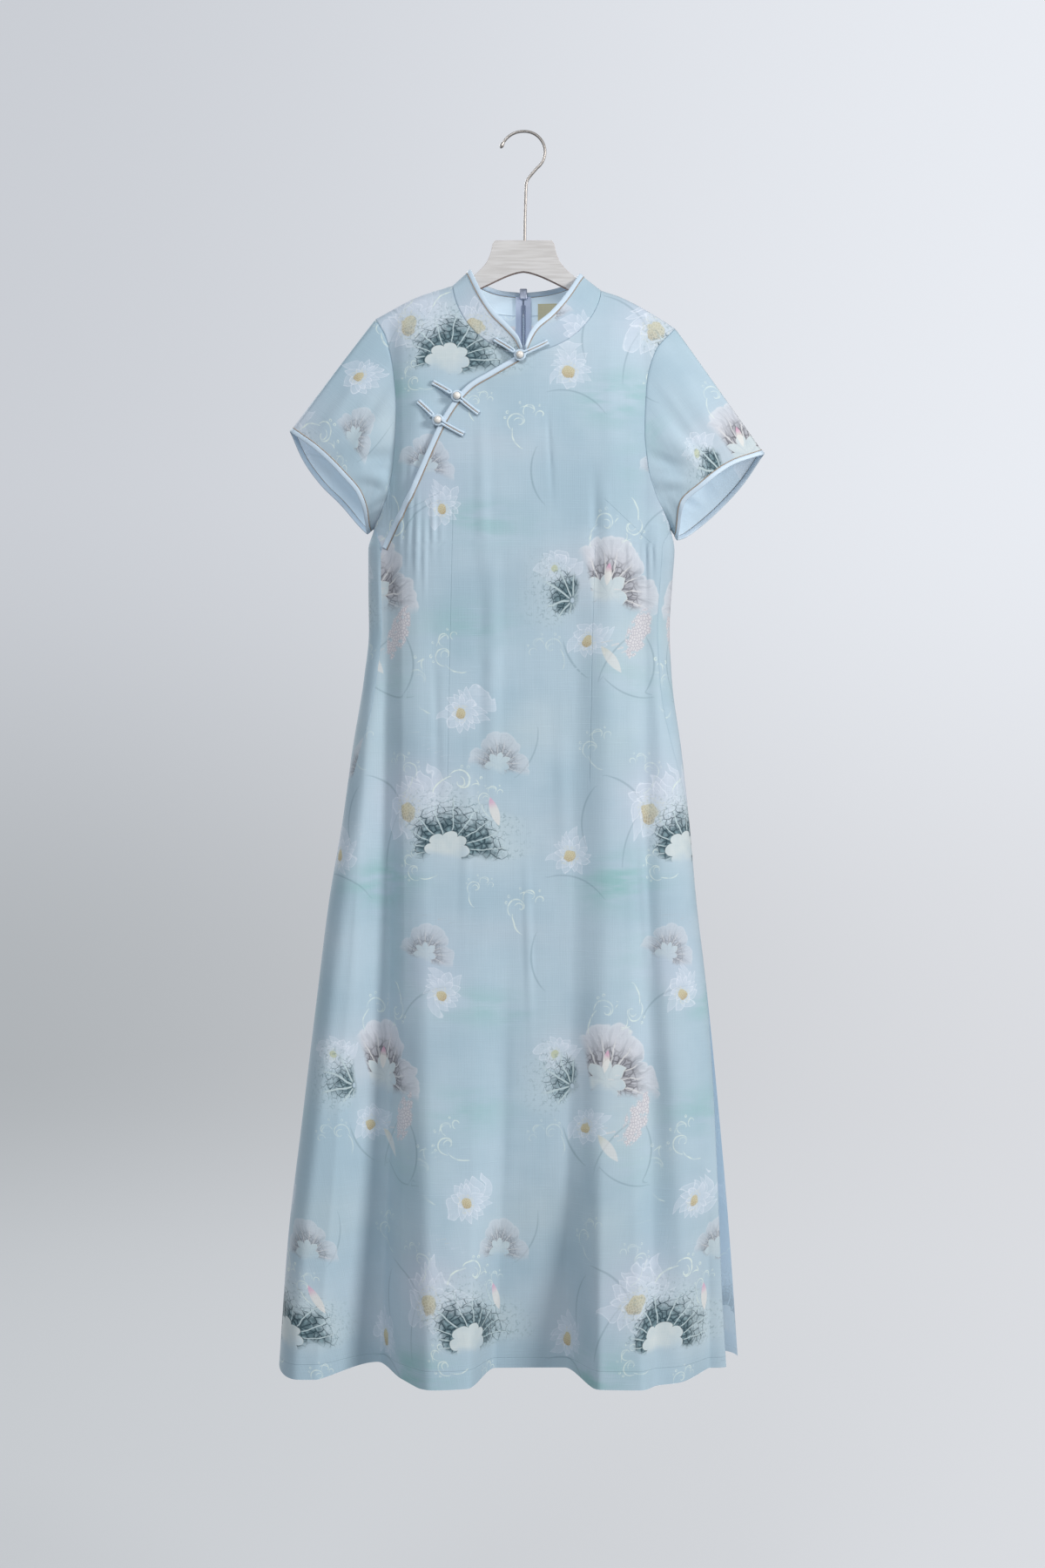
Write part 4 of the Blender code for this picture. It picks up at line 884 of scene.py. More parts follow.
def nearest_motif(places, motifs, facts):
    """For each place the nearest motif: the place within it in radii, and its facts.

    The third number of the place is how much further the next motif is, in radii.
    """
    shape = places.shape[:2]
    best = np.full(shape, FAR)
    second = np.full(shape, FAR)
    spot = np.full(shape + (3,), FAR)
    said = np.zeros(shape + (3,))
    for row, x, z in motifs:
        right, up = local_place(places, x, z, row.turn)
        right = right / row.size
        up = up / row.size
        reach = np.hypot(right, up)
        closer = reach < best
        second = np.where(closer, best, np.minimum(second, reach))
        best = np.where(closer, reach, best)
        value = np.stack([right, up, reach], axis=-1)
        spot = np.where(closer[..., None], value, spot)
        said = np.where(closer[..., None], np.array(facts(row), float), said)
    spot[..., 2] = np.clip(second - best, 0, 2)
    said[..., 2] *= 1 - smoothstep((best - 1.5) / 0.4)
    return np.clip(spot, -FAR, FAR), said


def arc_points(stroke, x, z):
    """The points and tapering half widths of a brush stroke about x and z."""
    t = np.linspace(0, 1, 26)
    angle = np.radians(stroke.start + stroke.sweep * t)
    radius = stroke.radius + (stroke.end_radius - stroke.radius) * t
    taper = np.sqrt(np.clip(np.sin(np.pi * np.clip(t, 0.02, 0.98)), 0, 1))
    points = np.column_stack([x + radius * np.cos(angle), z + radius * np.sin(angle)])
    return points, stroke.width * taper


def nearest_line(places, lines):
    """Signed and plain distance to the nearest line, and its half width there."""
    shape = places.shape[:2]
    signed = np.full(shape, float(LINE_REACH))
    plain = np.full(shape, float(LINE_REACH))
    width = np.ones(shape)
    for line, widths in lines:
        near = np.all((places > line.min(axis=0) - LINE_REACH)
                      & (places < line.max(axis=0) + LINE_REACH), axis=-1)
        if not near.any():
            continue
        spots = places[near]
        start = line[:-1]
        step = line[1:] - start
        apart = spots[:, None, :] - start
        share = np.sum(apart * step, axis=2) / np.sum(step * step, axis=1)
        held = np.clip(share, 0, 1)[..., None]
        offset = apart - step * held
        distance = np.linalg.norm(offset, axis=2)
        nearest = np.argmin(distance, axis=1)
        pick = np.arange(len(spots))
        length = distance[pick, nearest]
        heading = step[nearest]
        side = heading[:, 0] * offset[pick, nearest, 1] - heading[:, 1] * offset[pick, nearest, 0]
        at = np.interp(nearest + held[pick, nearest, 0], np.arange(len(line)), widths)
        closer = length < plain[near]
        for field, value in ((plain, length), (signed, np.sign(side) * length), (width, at)):
            field[near] = np.where(closer, value, field[near])
    return np.stack([signed, plain, np.maximum(width, 0.05)], axis=-1)


def wash_field(places, washes):
    """Soft colour: how green, how lavender and how pale each place is."""
    value = np.zeros(places.shape[:2] + (3,))
    for row, x, z in washes:
        right, up = local_place(places, x, z, row.turn)
        soft = np.exp(-1.6 * ((right / row.wide) ** 2 + (up / row.high) ** 2)) * row.strength
        for k, share in enumerate((max(row.tone, 0), max(-row.tone, 0), 1 - abs(row.tone))):
            value[..., k] += soft * share
    return value


def print_fields(places, name):
    """All of the print's fields on a panel."""
    flat = places.reshape(-1, 2)
    reach = (LEAF_AT[name], flat.min(axis=0), flat.max(axis=0))
    fields = {}
    for name, table, facts in MOTIFS:
        spot, said = nearest_motif(places, repeated(table, *reach), facts)
        fields[name] = spot
        fields[name + "_kind"] = said
    strokes = [arc_points(*row) for row in repeated(DARK_STROKES, *reach)]
    fields["dark_line"] = nearest_line(places, strokes)
    fields["wash"] = wash_field(places, repeated(WASHES, *reach))
    return fields


# ---------------------------------------------------------------- shaders

def rgb(red, green, blue):
    """A colour in the shader's linear values from its usual 0 to 255 ones."""
    linear = []
    for part in (red, green, blue):
        part = part / 255
        linear.append(part / 12.92 if part <= 0.04045 else ((part + 0.055) / 1.055) ** 2.4)
    return (*linear, 1.0)


class Value:
    """A shader socket that takes part in sums, so that a pattern reads as a formula."""

    def __init__(self, tree, socket):
        self.tree = tree
        self.socket = socket

    def math(self, operation, *others):
        node = self.tree.nodes.new("ShaderNodeMath")
        node.operation = operation
        join_all(node, enumerate((self,) + others))
        return Value(self.tree, node.outputs[0])

    def __add__(self, other):
        return self.math("ADD", other)

    def __sub__(self, other):
        return self.math("SUBTRACT", other)

    def __mul__(self, other):
        return self.math("MULTIPLY", other)

    def __truediv__(self, other):
        return self.math("DIVIDE", other)

    __radd__ = __add__
    __rmul__ = __mul__

    def __rsub__(self, other):
        return self * -1.0 + other

    def __abs__(self):
        return self.math("ABSOLUTE")

    def most(self, other):
        return self.math("MAXIMUM", other)

    def ramp(self, low, high, to_low=0.0, to_high=1.0):
        """A soft step from to_low at low to to_high at high, either way round."""
        node = self.tree.nodes.new("ShaderNodeMapRange")
        node.interpolation_type = "SMOOTHSTEP"
        join_all(node, enumerate((self, low, high, to_low, to_high)))
        return Value(self.tree, node.outputs[0])


def join(value, slot):
    """Put a value on a socket, as a link or as the socket's own setting."""
    if isinstance(value, Value):
        value.tree.links.new(value.socket, slot)
    else:
        slot.default_value = value


def join_all(node, values):
    """Put values on a node's sockets, from pairs of a socket's name or number and a value."""
    for key, value in values:
        join(value, node.inputs[key])


def parts_of(tree, socket):
    """The three numbers of a vector."""
    split = tree.nodes.new("ShaderNodeSeparateXYZ")
    tree.links.new(socket, split.inputs[0])
    return [Value(tree, out) for out in split.outputs]


def attribute(tree, name):
    """The three numbers that the cloth's points carry under a name."""
    source = tree.nodes.new("ShaderNodeAttribute")
    source.attribute_name = name
    return parts_of(tree, source.outputs["Vector"])


def place_on_cloth(tree):
    """The place on the flat cloth, in metres."""
    source = tree.nodes.new("ShaderNodeUVMap")
    source.uv_map = "UVMap"
    return parts_of(tree, source.outputs[0])[:2]


def point(tree, x, y):
    node = tree.nodes.new("ShaderNodeCombineXYZ")
    join_all(node, enumerate((x, y)))
    return Value(tree, node.outputs[0])


def noise(tree, x, y, scale, detail=2.0):
    """Soft noise about 0.5 at a place."""
    node = tree.nodes.new("ShaderNodeTexNoise")
    node.noise_dimensions = "2D"
    join_all(node, (("Vector", point(tree, x, y)), ("Scale", scale), ("Detail", detail)))
    return Value(tree, node.outputs["Fac"])


def cells(tree, x, y):
    """Distance to the edges of uneven cells about one unit wide."""
    node = tree.nodes.new("ShaderNodeTexVoronoi")
    node.voronoi_dimensions = "2D"
    node.feature = "DISTANCE_TO_EDGE"
    join_all(node, (("Vector", point(tree, x, y)), ("Scale", 1.0)))
    return Value(tree, node.outputs["Distance"])


def blend(factor, first, second, mode="MIX"):
    """Mix of two colours, each a colour or a value."""
    tree = next(value.tree for value in (factor, first, second) if isinstance(value, Value))
    node = tree.nodes.new("ShaderNodeMix")
    node.data_type = "RGBA"
    node.blend_type = mode
    join_all(node, ((0, factor), (6, first), (7, second)))
    return Value(tree, node.outputs[2])


def darker(color, share):
    """A value's colour times a share."""
    return blend(1.0, color, (share, share, share, 1.0), "MULTIPLY")


def polar(x, y):
    """Angle from straight up, clockwise, and distance."""
    return x.math("ARCTAN2", y), (x * x + y * y).math("SQRT")


def petal_edge(turn, low, high, uneven):
    """The reach of a ring of pointed petals at an angle counted in petals."""
    tree = turn.tree
    node = tree.nodes.new("ShaderNodeTexWhiteNoise")
    node.noise_dimensions = "1D"
    join(turn.math("FLOOR"), node.inputs["W"])
    length = 1.0 - Value(tree, node.outputs["Value"]) * uneven
    tip = 1.0 - abs(turn.math("FRACT") * 2.0 - 1.0)
    return low + tip.math("POWER", 0.62) * (high - low) * length, tip


def settled(margin):
    """0 where the fields of two motifs meet and 1 a little way from there."""
    return margin.ramp(0.08, 0.24)


def draw_leaf(tree, paper, u, v):
    """Fans of netted veins: teal ones that fade outward, mauve ones with a ruffled rim."""
    x, y, margin = attribute(tree, "leaf")
    hole, tone, strength = attribute(tree, "leaf_kind")
    wobble = noise(tree, u, v, 60.0) - 0.5
    drift = noise(tree, u, v, 26.0, 2.0) - 0.5
    haze_noise = noise(tree, u, v, 34.0, 4.0)
    fine = noise(tree, u, v, 210.0, 3.0)
    angle, radius = polar(x + drift * 0.10, y * (1.32 - tone * 0.34) + wobble * 0.06)
    low = y + drift * 0.45 + x * 0.06 - hole.ramp(0.12, 0.05) * 0.15
    window = low.ramp(-0.24, -0.04) * strength * settled(margin)

    bumps = abs((angle * 3.7 + 0.9 + drift * 2.4).math("SINE")).math("POWER", 0.55)
    cloud_rim = hole * (0.79 + bumps * 0.25 + (angle * 0.9 + 0.4).math("COSINE") * 0.05)
    star_rim, star_tip = petal_edge(angle * 1.15 + 0.5 + drift, hole * 0.66, hole * 1.2, 0.4)
    inner = cloud_rim + (star_rim - cloud_rim) * tone + wobble * 0.03
    beyond = radius - inner

    teal = (1.0 - tone) * window
    rays = abs((angle * (1.5 + hole * 2.9) + drift * 0.5).math("FRACT") - 0.5) * radius
    net = cells(tree, angle * 4.2 + wobble, radius * 8.0 + wobble)
    small_net = cells(tree, x * 15.0 + wobble, y * 15.0)
    spread = 0.19 + angle.ramp(-1.45, -0.2) * 0.43
    fade = beyond / spread + (haze_noise - 0.5) * 1.1
    mist = fade.ramp(2.7, 0.4) * beyond.ramp(-0.02, 0.08)
    paper = blend(teal * mist * 0.50, paper, rgb(188, 205, 212))
    specks = fine.ramp(0.50, 0.66) * small_net.ramp(0.30, 0.06)
    paper = blend(teal * mist * specks * 0.60, paper, rgb(100, 128, 138))
    solid = (fade + fine * 0.7).ramp(1.45, 0.65) * beyond.ramp(-0.012, 0.012)
    stone = blend(net.ramp(0.04, 0.36), rgb(40, 66, 76), rgb(112, 140, 148))
    stone = blend(fine.ramp(0.62, 0.40) * 0.7, stone, rgb(48, 76, 86))
    paper = blend(teal * solid * 0.90, paper, stone)
    crack = (net + fade.ramp(0.5, 1.7) * 0.06).ramp(0.085, 0.03)
    crack = crack * fade.ramp(1.55, 0.8) * beyond.ramp(-0.01, 0.03)
    paper = blend(teal * crack * 0.85, paper, rgb(34, 60, 70))
    ray_line = rays.ramp(0.046, 0.020) * beyond.ramp(0.0, 0.06) * fade.ramp(1.4, 0.9)
    paper = blend(teal * ray_line * 0.90, paper, rgb(188, 204, 208))

    lobe = abs((angle * 1.66 + drift * 0.7).math("COSINE")).math("POWER", 0.45)
    ruffle = abs((angle * 6.1 + drift * 5.0).math("SINE")).math("POWER", 0.6)
    outer = 0.60 + lobe * 0.30 + ruffle * 0.07 + wobble * 0.16
    depth = (radius - inner) / (outer - inner)
    streak = noise(tree, angle * 11.0 + drift * 3.0, radius * 2.4, 1.0, 4.0) - 0.5
    mask = (radius - outer).ramp(0.010, -0.018) * beyond.ramp(-0.01, 0.01) * window * tone
    body = blend(depth * 1.15 + streak * 1.0 + (haze_noise - 0.5) * 0.8, rgb(150, 150, 157),
                 rgb(207, 206, 213))
    body = blend(lobe.ramp(0.66, 0.30) * 0.6, body, rgb(140, 142, 151))
    folds = abs(streak).ramp(0.05, 0.0) * depth.ramp(0.3, 0.6)
    body = blend(folds * 0.5, body, rgb(222, 222, 227))
    body = blend((outer - radius).ramp(0.09, 0.01) * 0.75, body, rgb(219, 220, 225))
    paper = blend(mask * (0.62 + depth.ramp(1.0, 0.0) * 0.34), paper, body)
    between = abs((angle * 5.3 + wobble * 1.6).math("FRACT") - 0.5).ramp(0.16, 0.03)
    dark = (net.ramp(0.16, 0.04) * depth.ramp(0.62, 0.15)).most(
        between * (depth + streak * 0.5).ramp(0.60, 0.05))
    paper = blend(mask * dark * 0.74, paper, rgb(88, 88, 95))
    vein = rays.ramp(0.040, 0.016) * depth.ramp(0.75, 0.35) * beyond.ramp(0.0, 0.02)
    paper = blend(mask * vein * 0.78, paper, rgb(212, 212, 213))

    filled = beyond.ramp(0.004, -0.010) * hole.ramp(0.1, 0.2) * window
    falls = 1.0 - (x.ramp(-0.1, 0.45) * y.ramp(0.16, -0.12)) * 0.75
    cream = blend(noise(tree, u, v, 70.0, 3.0), rgb(186, 200, 205), rgb(211, 216, 215))
    cream = blend(star_tip.ramp(0.35, 0.05) * tone * 0.45, cream, rgb(178, 188, 194))
    paper = blend(filled * falls * (0.88 - tone * 0.16), paper, cream)
    lip = abs(beyond).ramp(0.014, 0.003) * hole.ramp(0.1, 0.2) * window
    return blend(lip * 0.55, paper, rgb(216, 222, 220))


# A flower's rings of petals, outer to inner: shift turns a ring against the others, low and high
# are where its petals start and end in radii, uneven is how much their lengths differ, and fill
# and rim are how pale their bodies and edges are.
Ring = namedtuple("Ring", "shift low high uneven fill rim")
RINGS = (
    Ring(0.0, 0.26, 1.04, 0.50, 0.34, 0.46),
    Ring(0.37, 0.24, 0.84, 0.42, 0.30, 0.52),
    Ring(0.71, 0.20, 0.58, 0.40, 0.34, 0.56),
)


def draw_flower(tree, paper, u, v):
    """Lotus flowers: rows of thin pointed petals, pale at the rim, round a seed pod."""
    x, y, margin = attribute(tree, "flower")
    petals, pod, strength = attribute(tree, "flower_kind")
    strength = strength * settled(margin)
    wobble = noise(tree, u, v, 55.0, 2.0) - 0.5
    drift = noise(tree, u, v, 21.0, 1.0) - 0.5
    angle, radius = polar(x - 0.08 + drift * 0.24, y * 1.14 - 0.15)
    silk = noise(tree, angle * 12.0 + drift * 4.0, radius * 2.0, 1.0, 2.0) * 0.8 + 0.5
    glow = radius.ramp(1.15, 0.1) * strength
    paper = blend(glow * 0.22, paper, rgb(200, 208, 224))
    whirl = angle / math.tau + 0.5 + wobble * 0.05 + drift * 0.30
    for shift, low, high, uneven, fill, rim in RINGS:
        turn = (whirl + radius * (0.10 - shift * 0.16) + shift * 0.31).math("FRACT") * petals
        edge, tip = petal_edge(turn, low, high, uneven)
        inside = radius - edge
        depth = radius.ramp(low, high)
        paper = blend(inside.ramp(0.014, -0.04) * strength * (0.40 + depth * 0.75) * fill
                      * silk, paper, rgb(220, 225, 237))
        line = abs(inside + 0.012).ramp(0.030, 0.006) * strength * (silk + wobble)
        paper = blend(line * rim, paper, rgb(230, 234, 243))
        groove = tip.ramp(0.14, 0.0) * inside.ramp(0.0, -0.1) * strength
        paper = blend(groove * 0.32, paper, rgb(160, 180, 202))
    oval = ((x * x) / 0.7 + y * y).math("SQRT") / pod * 1.12 + wobble * 1.5
    green = pod.ramp(0.19, 0.175)
    gold = blend(y.ramp(-0.20, 0.12), rgb(164, 142, 98), rgb(188, 176, 136))
    gold = blend(green, gold, rgb(176, 180, 120))
    seeds = cells(tree, x * 17.0, y * 17.0)
    gold = blend(seeds.ramp(0.16, 0.04) * 0.65, gold, rgb(218, 210, 180))
    fringe = abs(oval - 1.35).ramp(0.45, 0.1) * noise(tree, u, v, 420.0, 1.0).ramp(0.46, 0.6)
    paper = blend(fringe * strength * 0.40, paper, rgb(214, 212, 192))
    return blend(oval.ramp(1.08, 0.84) * strength.ramp(0.0, 0.5) * 0.88, paper, gold)


def draw_bud(tree, paper, u, v):
    """Small pointed buds, and wedges of pinkish beads."""
    x, y, margin = attribute(tree, "bud")
    tone, beads, strength = attribute(tree, "bud_kind")
    sound = settled(margin) * strength
    side = abs(x) - (1.0 - y * y) * (0.30 + beads * 0.12)
    mask = side.ramp(0.03, -0.05) * abs(y).ramp(1.0, 0.94) * sound
    tip = blend(tone, rgb(210, 206, 188), rgb(216, 166, 192))
    petal = blend(y.ramp(0.1, 0.8), rgb(222, 219, 216), tip)
    balls = cells(tree, x * 10.0, y * 10.0)
    bunch = blend(balls.ramp(0.0, 0.20), rgb(176, 168, 178), rgb(219, 212, 214))
    ragged = (noise(tree, u, v, 130.0, 2.0) - side * 0.8).ramp(0.42, 0.62)
    soft = mask * (1.0 - beads + beads * ragged)
    return blend(soft * 0.85, paper, blend(beads, petal, bunch))


# A wave's curls in its own radii: arcs of spirals about x and y, whose radius goes from radius
# to end_radius, with start and sweep in degrees. The last four are drops of spray.
Curl = namedtuple("Curl", "x y radius end_radius start sweep width")
CURLS = (
    Curl(0.0, 0.0, 0.46, 0.24, 215, -250, 0.034),
    Curl(0.06, -0.03, 0.22, 0.08, 150, -290, 0.026),
    Curl(0.50, -0.62, 0.90, 0.78, 152, 70, 0.034),
    Curl(0.62, 0.34, 0.32, 0.13, 200, -270, 0.030),
    Curl(0.46, 0.02, 0.56, 0.46, 118, -76, 0.022),
    Curl(0.98, 0.06, 0.22, 0.08, 190, -250, 0.026),
    Curl(-0.44, 0.30, 0.045, 0.04, 0, 340, 0.020),
    Curl(-0.30, 0.50, 0.05, 0.045, 0, 340, 0.020),
    Curl(0.26, 0.72, 0.045, 0.04, 0, 340, 0.020),
    Curl(1.04, 0.44, 0.04, 0.035, 0, 340, 0.020),
)


def arc_line(x, y, curl):
    """Cover of a tapering curl."""
    across = x - curl.x
    up = y - curl.y
    radius = (across * across + up * up).math("SQRT")
    way = math.copysign(1.0, curl.sweep)
    share = ((up.math("ARCTAN2", across) - math.radians(curl.start)) * (way / math.tau)
             + 2.0).math("FRACT") * (360.0 / abs(curl.sweep))
    line = curl.radius + share * (curl.end_radius - curl.radius)
    taper = (share * (1.0 - share)).most(0.0).math("SQRT") * 1.6 * curl.width
    return (abs(radius - line) - taper).ramp(0.016, -0.010) * share.ramp(1.0, 0.985)


def draw_wave(tree, paper, u, v):
    """The pale curls of a breaking wave."""
    x, y, margin = attribute(tree, "wave")
    flip, _unused, strength = attribute(tree, "wave_kind")
    bend = noise(tree, u, v, 45.0, 2.0) - 0.5
    x = x + bend * 0.16
    y = (y + bend * 0.12) * flip
    cover = arc_line(x, y, CURLS[0])
    for curl in CURLS[1:]:
        cover = cover.most(arc_line(x, y, curl))
    dry = noise(tree, u, v, 120.0, 3.0).ramp(0.34, 0.60, 0.40, 1.0)
    return blend(cover * settled(margin) * strength * dry * 0.80, paper, rgb(220, 230, 222))


def draw_line(tree, paper):
    """Grey-blue brush lines of an uneven width."""
    signed, plain, width = attribute(tree, "dark_line")
    mask = (abs(signed) - width * 0.75).ramp(0.9, -0.9) * plain.ramp(4.0, 3.2)
    return blend(mask * 0.42, paper, rgb(116, 140, 152))


def weave(tree, u, v):
    """Threads of uneven thickness both ways, about 0 on average."""
    warp = noise(tree, u * 900.0, v * 28.0, 1.0, 2.0) - 0.5
    weft = noise(tree, u * 26.0, v * 900.0, 1.0, 2.0) - 0.5
    slub = noise(tree, u * 22.0, v * 420.0, 1.0, 3.0).ramp(0.58, 0.80)
    return warp + weft + slub * 0.5


def shader_of(name):
    """A new material, its tree and its main shader."""
    material = bpy.data.materials.new(name)
    material.use_nodes = True
    return material, material.node_tree, material.node_tree.nodes["Principled BSDF"]


def raise_surface(tree, shader, height, strength, distance=0.0006):
    node = tree.nodes.new("ShaderNodeBump")
    join_all(node, (("Strength", strength), ("Distance", distance), ("Height", height)))
    tree.links.new(node.outputs[0], shader.inputs["Normal"])


GROUND_LIGHT = (176, 196, 209)
GROUND_DARK = (164, 187, 201)


def printed_crepe(name):
    """Pale blue slubbed crepe with the lotus print, paler on its inner side, which glows with
    painted light.
    """
    material, tree, shader = shader_of(name)
    u, v = place_on_cloth(tree)
    green, lavender, pale = attribute(tree, "wash")
    cloud = noise(tree, u, v, 9.0, 3.0)
    brush = noise(tree, u * 16.0, v * 60.0, 1.0, 3.0)
    paper = blend(cloud.ramp(0.32, 0.68), rgb(*GROUND_DARK), rgb(*GROUND_LIGHT))
    paper = blend(green * brush.ramp(0.30, 0.66) * 0.55, paper, rgb(146, 184, 188))
    paper = blend(lavender * (brush * 0.6 + 0.3) * 0.8, paper, rgb(198, 196, 214))
    paper = blend(pale * (brush * 0.6 + 0.3) * 0.6, paper, rgb(204, 212, 212))
    paper = draw_line(tree, paper)
    for draw in (draw_flower, draw_leaf, draw_bud, draw_wave):
        paper = draw(tree, paper, u, v)
    threads = weave(tree, u, v)
    paper = blend((threads * 0.5 + 0.5).ramp(0.0, 1.0), darker(paper, 0.94), paper)
    height = threads * 0.35 + noise(tree, u * 34.0, v * 5.0, 1.0, 2.0) * 2.4
    signed, plain, width = attribute(tree, "seam")
    # Painted shade: the colour darkens along seams, darts and the hem's stitches as shade in their
    # grooves would, beside the bump that sinks them.
    groove = (abs(signed) / width).ramp(1.0, 0.1) * plain.ramp(4.0, 3.0)
    paper = blend(groove * 0.22, paper, rgb(112, 142, 158))
    height = height - groove * 0.7
    # Painted light on the inner side: its colour is mixed towards pale blue, partly the reverse's
    # own paler tone and partly painted light for what would shine through the thin cloth, and an
    # emission makes that side glow.
    side = tree.nodes.new("ShaderNodeNewGeometry")
    inside = Value(tree, side.outputs["Backfacing"])
    color = blend(inside * 0.62, paper, rgb(208, 222, 233))
    join_all(shader, (("Base Color", color), ("Emission Color", color),
                      ("Emission Strength", inside * 0.24), ("Roughness", 0.82),
                      ("Sheen Weight", 0.18), ("Sheen Roughness", 0.45),
                      ("Specular IOR Level", 0.28)))
    raise_surface(tree, shader, height, 0.45)
    return material


def two_tones(tree, share, color, depth):
    """A colour mixed by share with a darker tone of itself."""
    node = tree.nodes.new("ShaderNodeRGB")
    node.outputs[0].default_value = rgb(*color)
    return blend(share, darker(Value(tree, node.outputs[0]), depth), rgb(*color))


def satin(name, color, roughness=0.46):
    """Smooth folded cloth with a soft sheen."""
    material, tree, shader = shader_of(name)
    spot = tree.nodes.new("ShaderNodeTexCoord")
    fine = tree.nodes.new("ShaderNodeTexNoise")
    fine.inputs["Scale"].default_value = 420.0
    tree.links.new(spot.outputs["Object"], fine.inputs["Vector"])
    grain = Value(tree, fine.outputs["Fac"])
    join_all(shader, (("Base Color", two_tones(tree, grain, color, 0.93)),
                      ("Roughness", roughness), ("Sheen Weight", 0.15),
                      ("Sheen Roughness", 0.4), ("Specular IOR Level", 0.4)))
    raise_surface(tree, shader, grain, 0.25, 0.0002)
    return material


def plain_cloth(name, color, roughness=0.85, mottle=0.94):
    """Plain woven cloth, with a fine weave and uneven tone."""
    material, tree, shader = shader_of(name)
    u, v = place_on_cloth(tree)
    threads = weave(tree, u, v)
    shade = (noise(tree, u, v, 30.0) + threads * 0.4).ramp(0.2, 0.8)
    join_all(shader, (("Base Color", two_tones(tree, shade, color, mottle)),
                      ("Roughness", roughness)))
    raise_surface(tree, shader, threads, 0.4, 0.0004)
    return material


def hard_surface(name, dark, light, stretch, scale, roughness, metallic=0.0, bump=0.1,
                 coat=0.0):
    """Wood, metal, paint or pearl: two near tones mixed by noise stretched along the axes."""
    material, tree, shader = shader_of(name)
    spot = tree.nodes.new("ShaderNodeTexCoord")
    size = tree.nodes.new("ShaderNodeMapping")
    size.inputs["Scale"].default_value = stretch
    tree.links.new(spot.outputs["Object"], size.inputs["Vector"])
    node = tree.nodes.new("ShaderNodeTexNoise")
    tree.links.new(size.outputs[0], node.inputs["Vector"])
    join_all(node, (("Scale", scale), ("Detail", 3.0)))
    grain = Value(tree, node.outputs["Fac"])
    join_all(shader, (("Base Color", blend(grain.ramp(0.3, 0.7), rgb(*dark), rgb(*light))),
                      ("Roughness", roughness), ("Metallic", metallic),
                      ("Coat Weight", coat), ("Coat Roughness", 0.12)))
    raise_surface(tree, shader, grain, bump, 0.0003)
    return material


# ---------------------------------------------------------------- small pieces

def skin(count, around, closed=False):
    """The faces between rings of points, each joined to the next."""
    faces = []
    for i in range(count if closed else count - 1):
        here = i * around
        there = (i + 1) % count * around
        for j in range(around):
            k = (j + 1) % around
            faces.append((here + j, here + k, there + k, there + j))
    return faces


def rings_object(name, rings, material, closed=False):
    """A skin over rings of points, closed at both ends unless the rings run in a circle."""
    rings = np.asarray(rings, float)
    count, around = rings.shape[:2]
    verts = rings.reshape(-1, 3)
    faces = skin(count, around, closed)
    if not closed:
        ends = np.array([rings[0].mean(axis=0), rings[-1].mean(axis=0)])
        verts = np.concatenate([verts, ends])
        base = count * around
        last = base - around
        for j in range(around):
            k = (j + 1) % around
            faces.append((base, k, j))
            faces.append((base + 1, last + j, last + k))
    mesh = bpy.data.meshes.new(name)
    mesh.from_pydata([tuple(point) for point in verts * MM], [], faces)
    mesh.shade_smooth()
    turned_out(mesh)
    return finish_piece(name, mesh, material)


def turned_out(mesh):
    """Turn a closed mesh's faces outward."""
    shape = bmesh.new()
    shape.from_mesh(mesh)
    bmesh.ops.recalc_face_normals(shape, faces=shape.faces)
    shape.to_mesh(mesh)
    shape.free()


def headings(path):
    along = np.gradient(path, axis=0)
    return along / np.maximum(np.linalg.norm(along, axis=1), 1e-9)[:, None]


def tube(name, path, radius, material, sides, closed=False, sizes=None):
    """A round cord along a path; sizes scales its radius at each point."""
    path = np.asarray(path, float)
    if closed:
        along = np.roll(path, -1, axis=0) - np.roll(path, 1, axis=0)
        along /= np.linalg.norm(along, axis=1)[:, None]
    else:
        along = headings(path)
    sizes = np.ones(len(path)) if sizes is None else np.asarray(sizes)
    side = np.cross(along[0], (0.2, 1.0, 0.3))
    side /= np.linalg.norm(side)
    angles = np.linspace(0, 2 * math.pi, sides, endpoint=False)
    rings = []
    for spot, heading, size in zip(path, along, sizes):
        side = side - heading * np.dot(side, heading)
        side /= np.linalg.norm(side)
        up = np.cross(heading, side)
        ring = np.outer(np.cos(angles), side) + np.outer(np.sin(angles), up)
        rings.append(spot + radius * size * ring)
    return rings_object(name, rings, material, closed)


def rounded_band(name, low, high, out, thick, rise, closed=False):
    """A band of folded satin between two lines, standing off the cloth along out."""
    middle = 0.5 * (low + high) + out * thick * rise
    half = 0.5 * (high - low)
    rings = []
    for angle in np.linspace(0, 2 * math.pi, 22, endpoint=False):
        wide, deep = (math.copysign(abs(part) ** 0.75, part)
                      for part in (math.cos(angle), math.sin(angle)))
        rings.append(middle + half * wide + out * (0.5 * thick * deep))
    return rings_object(name, np.stack(rings, axis=1), SATIN, closed)


def ruled(low, high, count):
    """Rows between two lines of points."""
    share = np.linspace(0, 1, count)[:, None, None]
    return low + (high - low) * share


# ---------------------------------------------------------------- panels

SEAM_HALF_WIDTH = 1.1    # of the groove along a seam, along a dart and along the hem's stitches
DART_HALF_WIDTH = 0.9
HEM_HALF_WIDTH = 0.7
BINDING_COVER = 5.2      # how far a binding reaches over its panel
BINDING_OVERHANG = 0.3   # and past its edge
BINDING_THICK = 2.3
PIPING_PLACE = 5.6       # from the panel's edge in to the piping, and its lift and radius
PIPING_LIFT = 1.35
PIPING_RADIUS = 0.5


def seam_lines(darts):
    """The darts and the hem's sewn line, in X and Z, with their half widths."""
    hem_line = [(x, HEM + HEM_STITCHES) for x in np.linspace(-280, 250, 90)]
    return [(dart, DART_HALF_WIDTH) for dart in darts] + [(hem_line, HEM_HALF_WIDTH)]


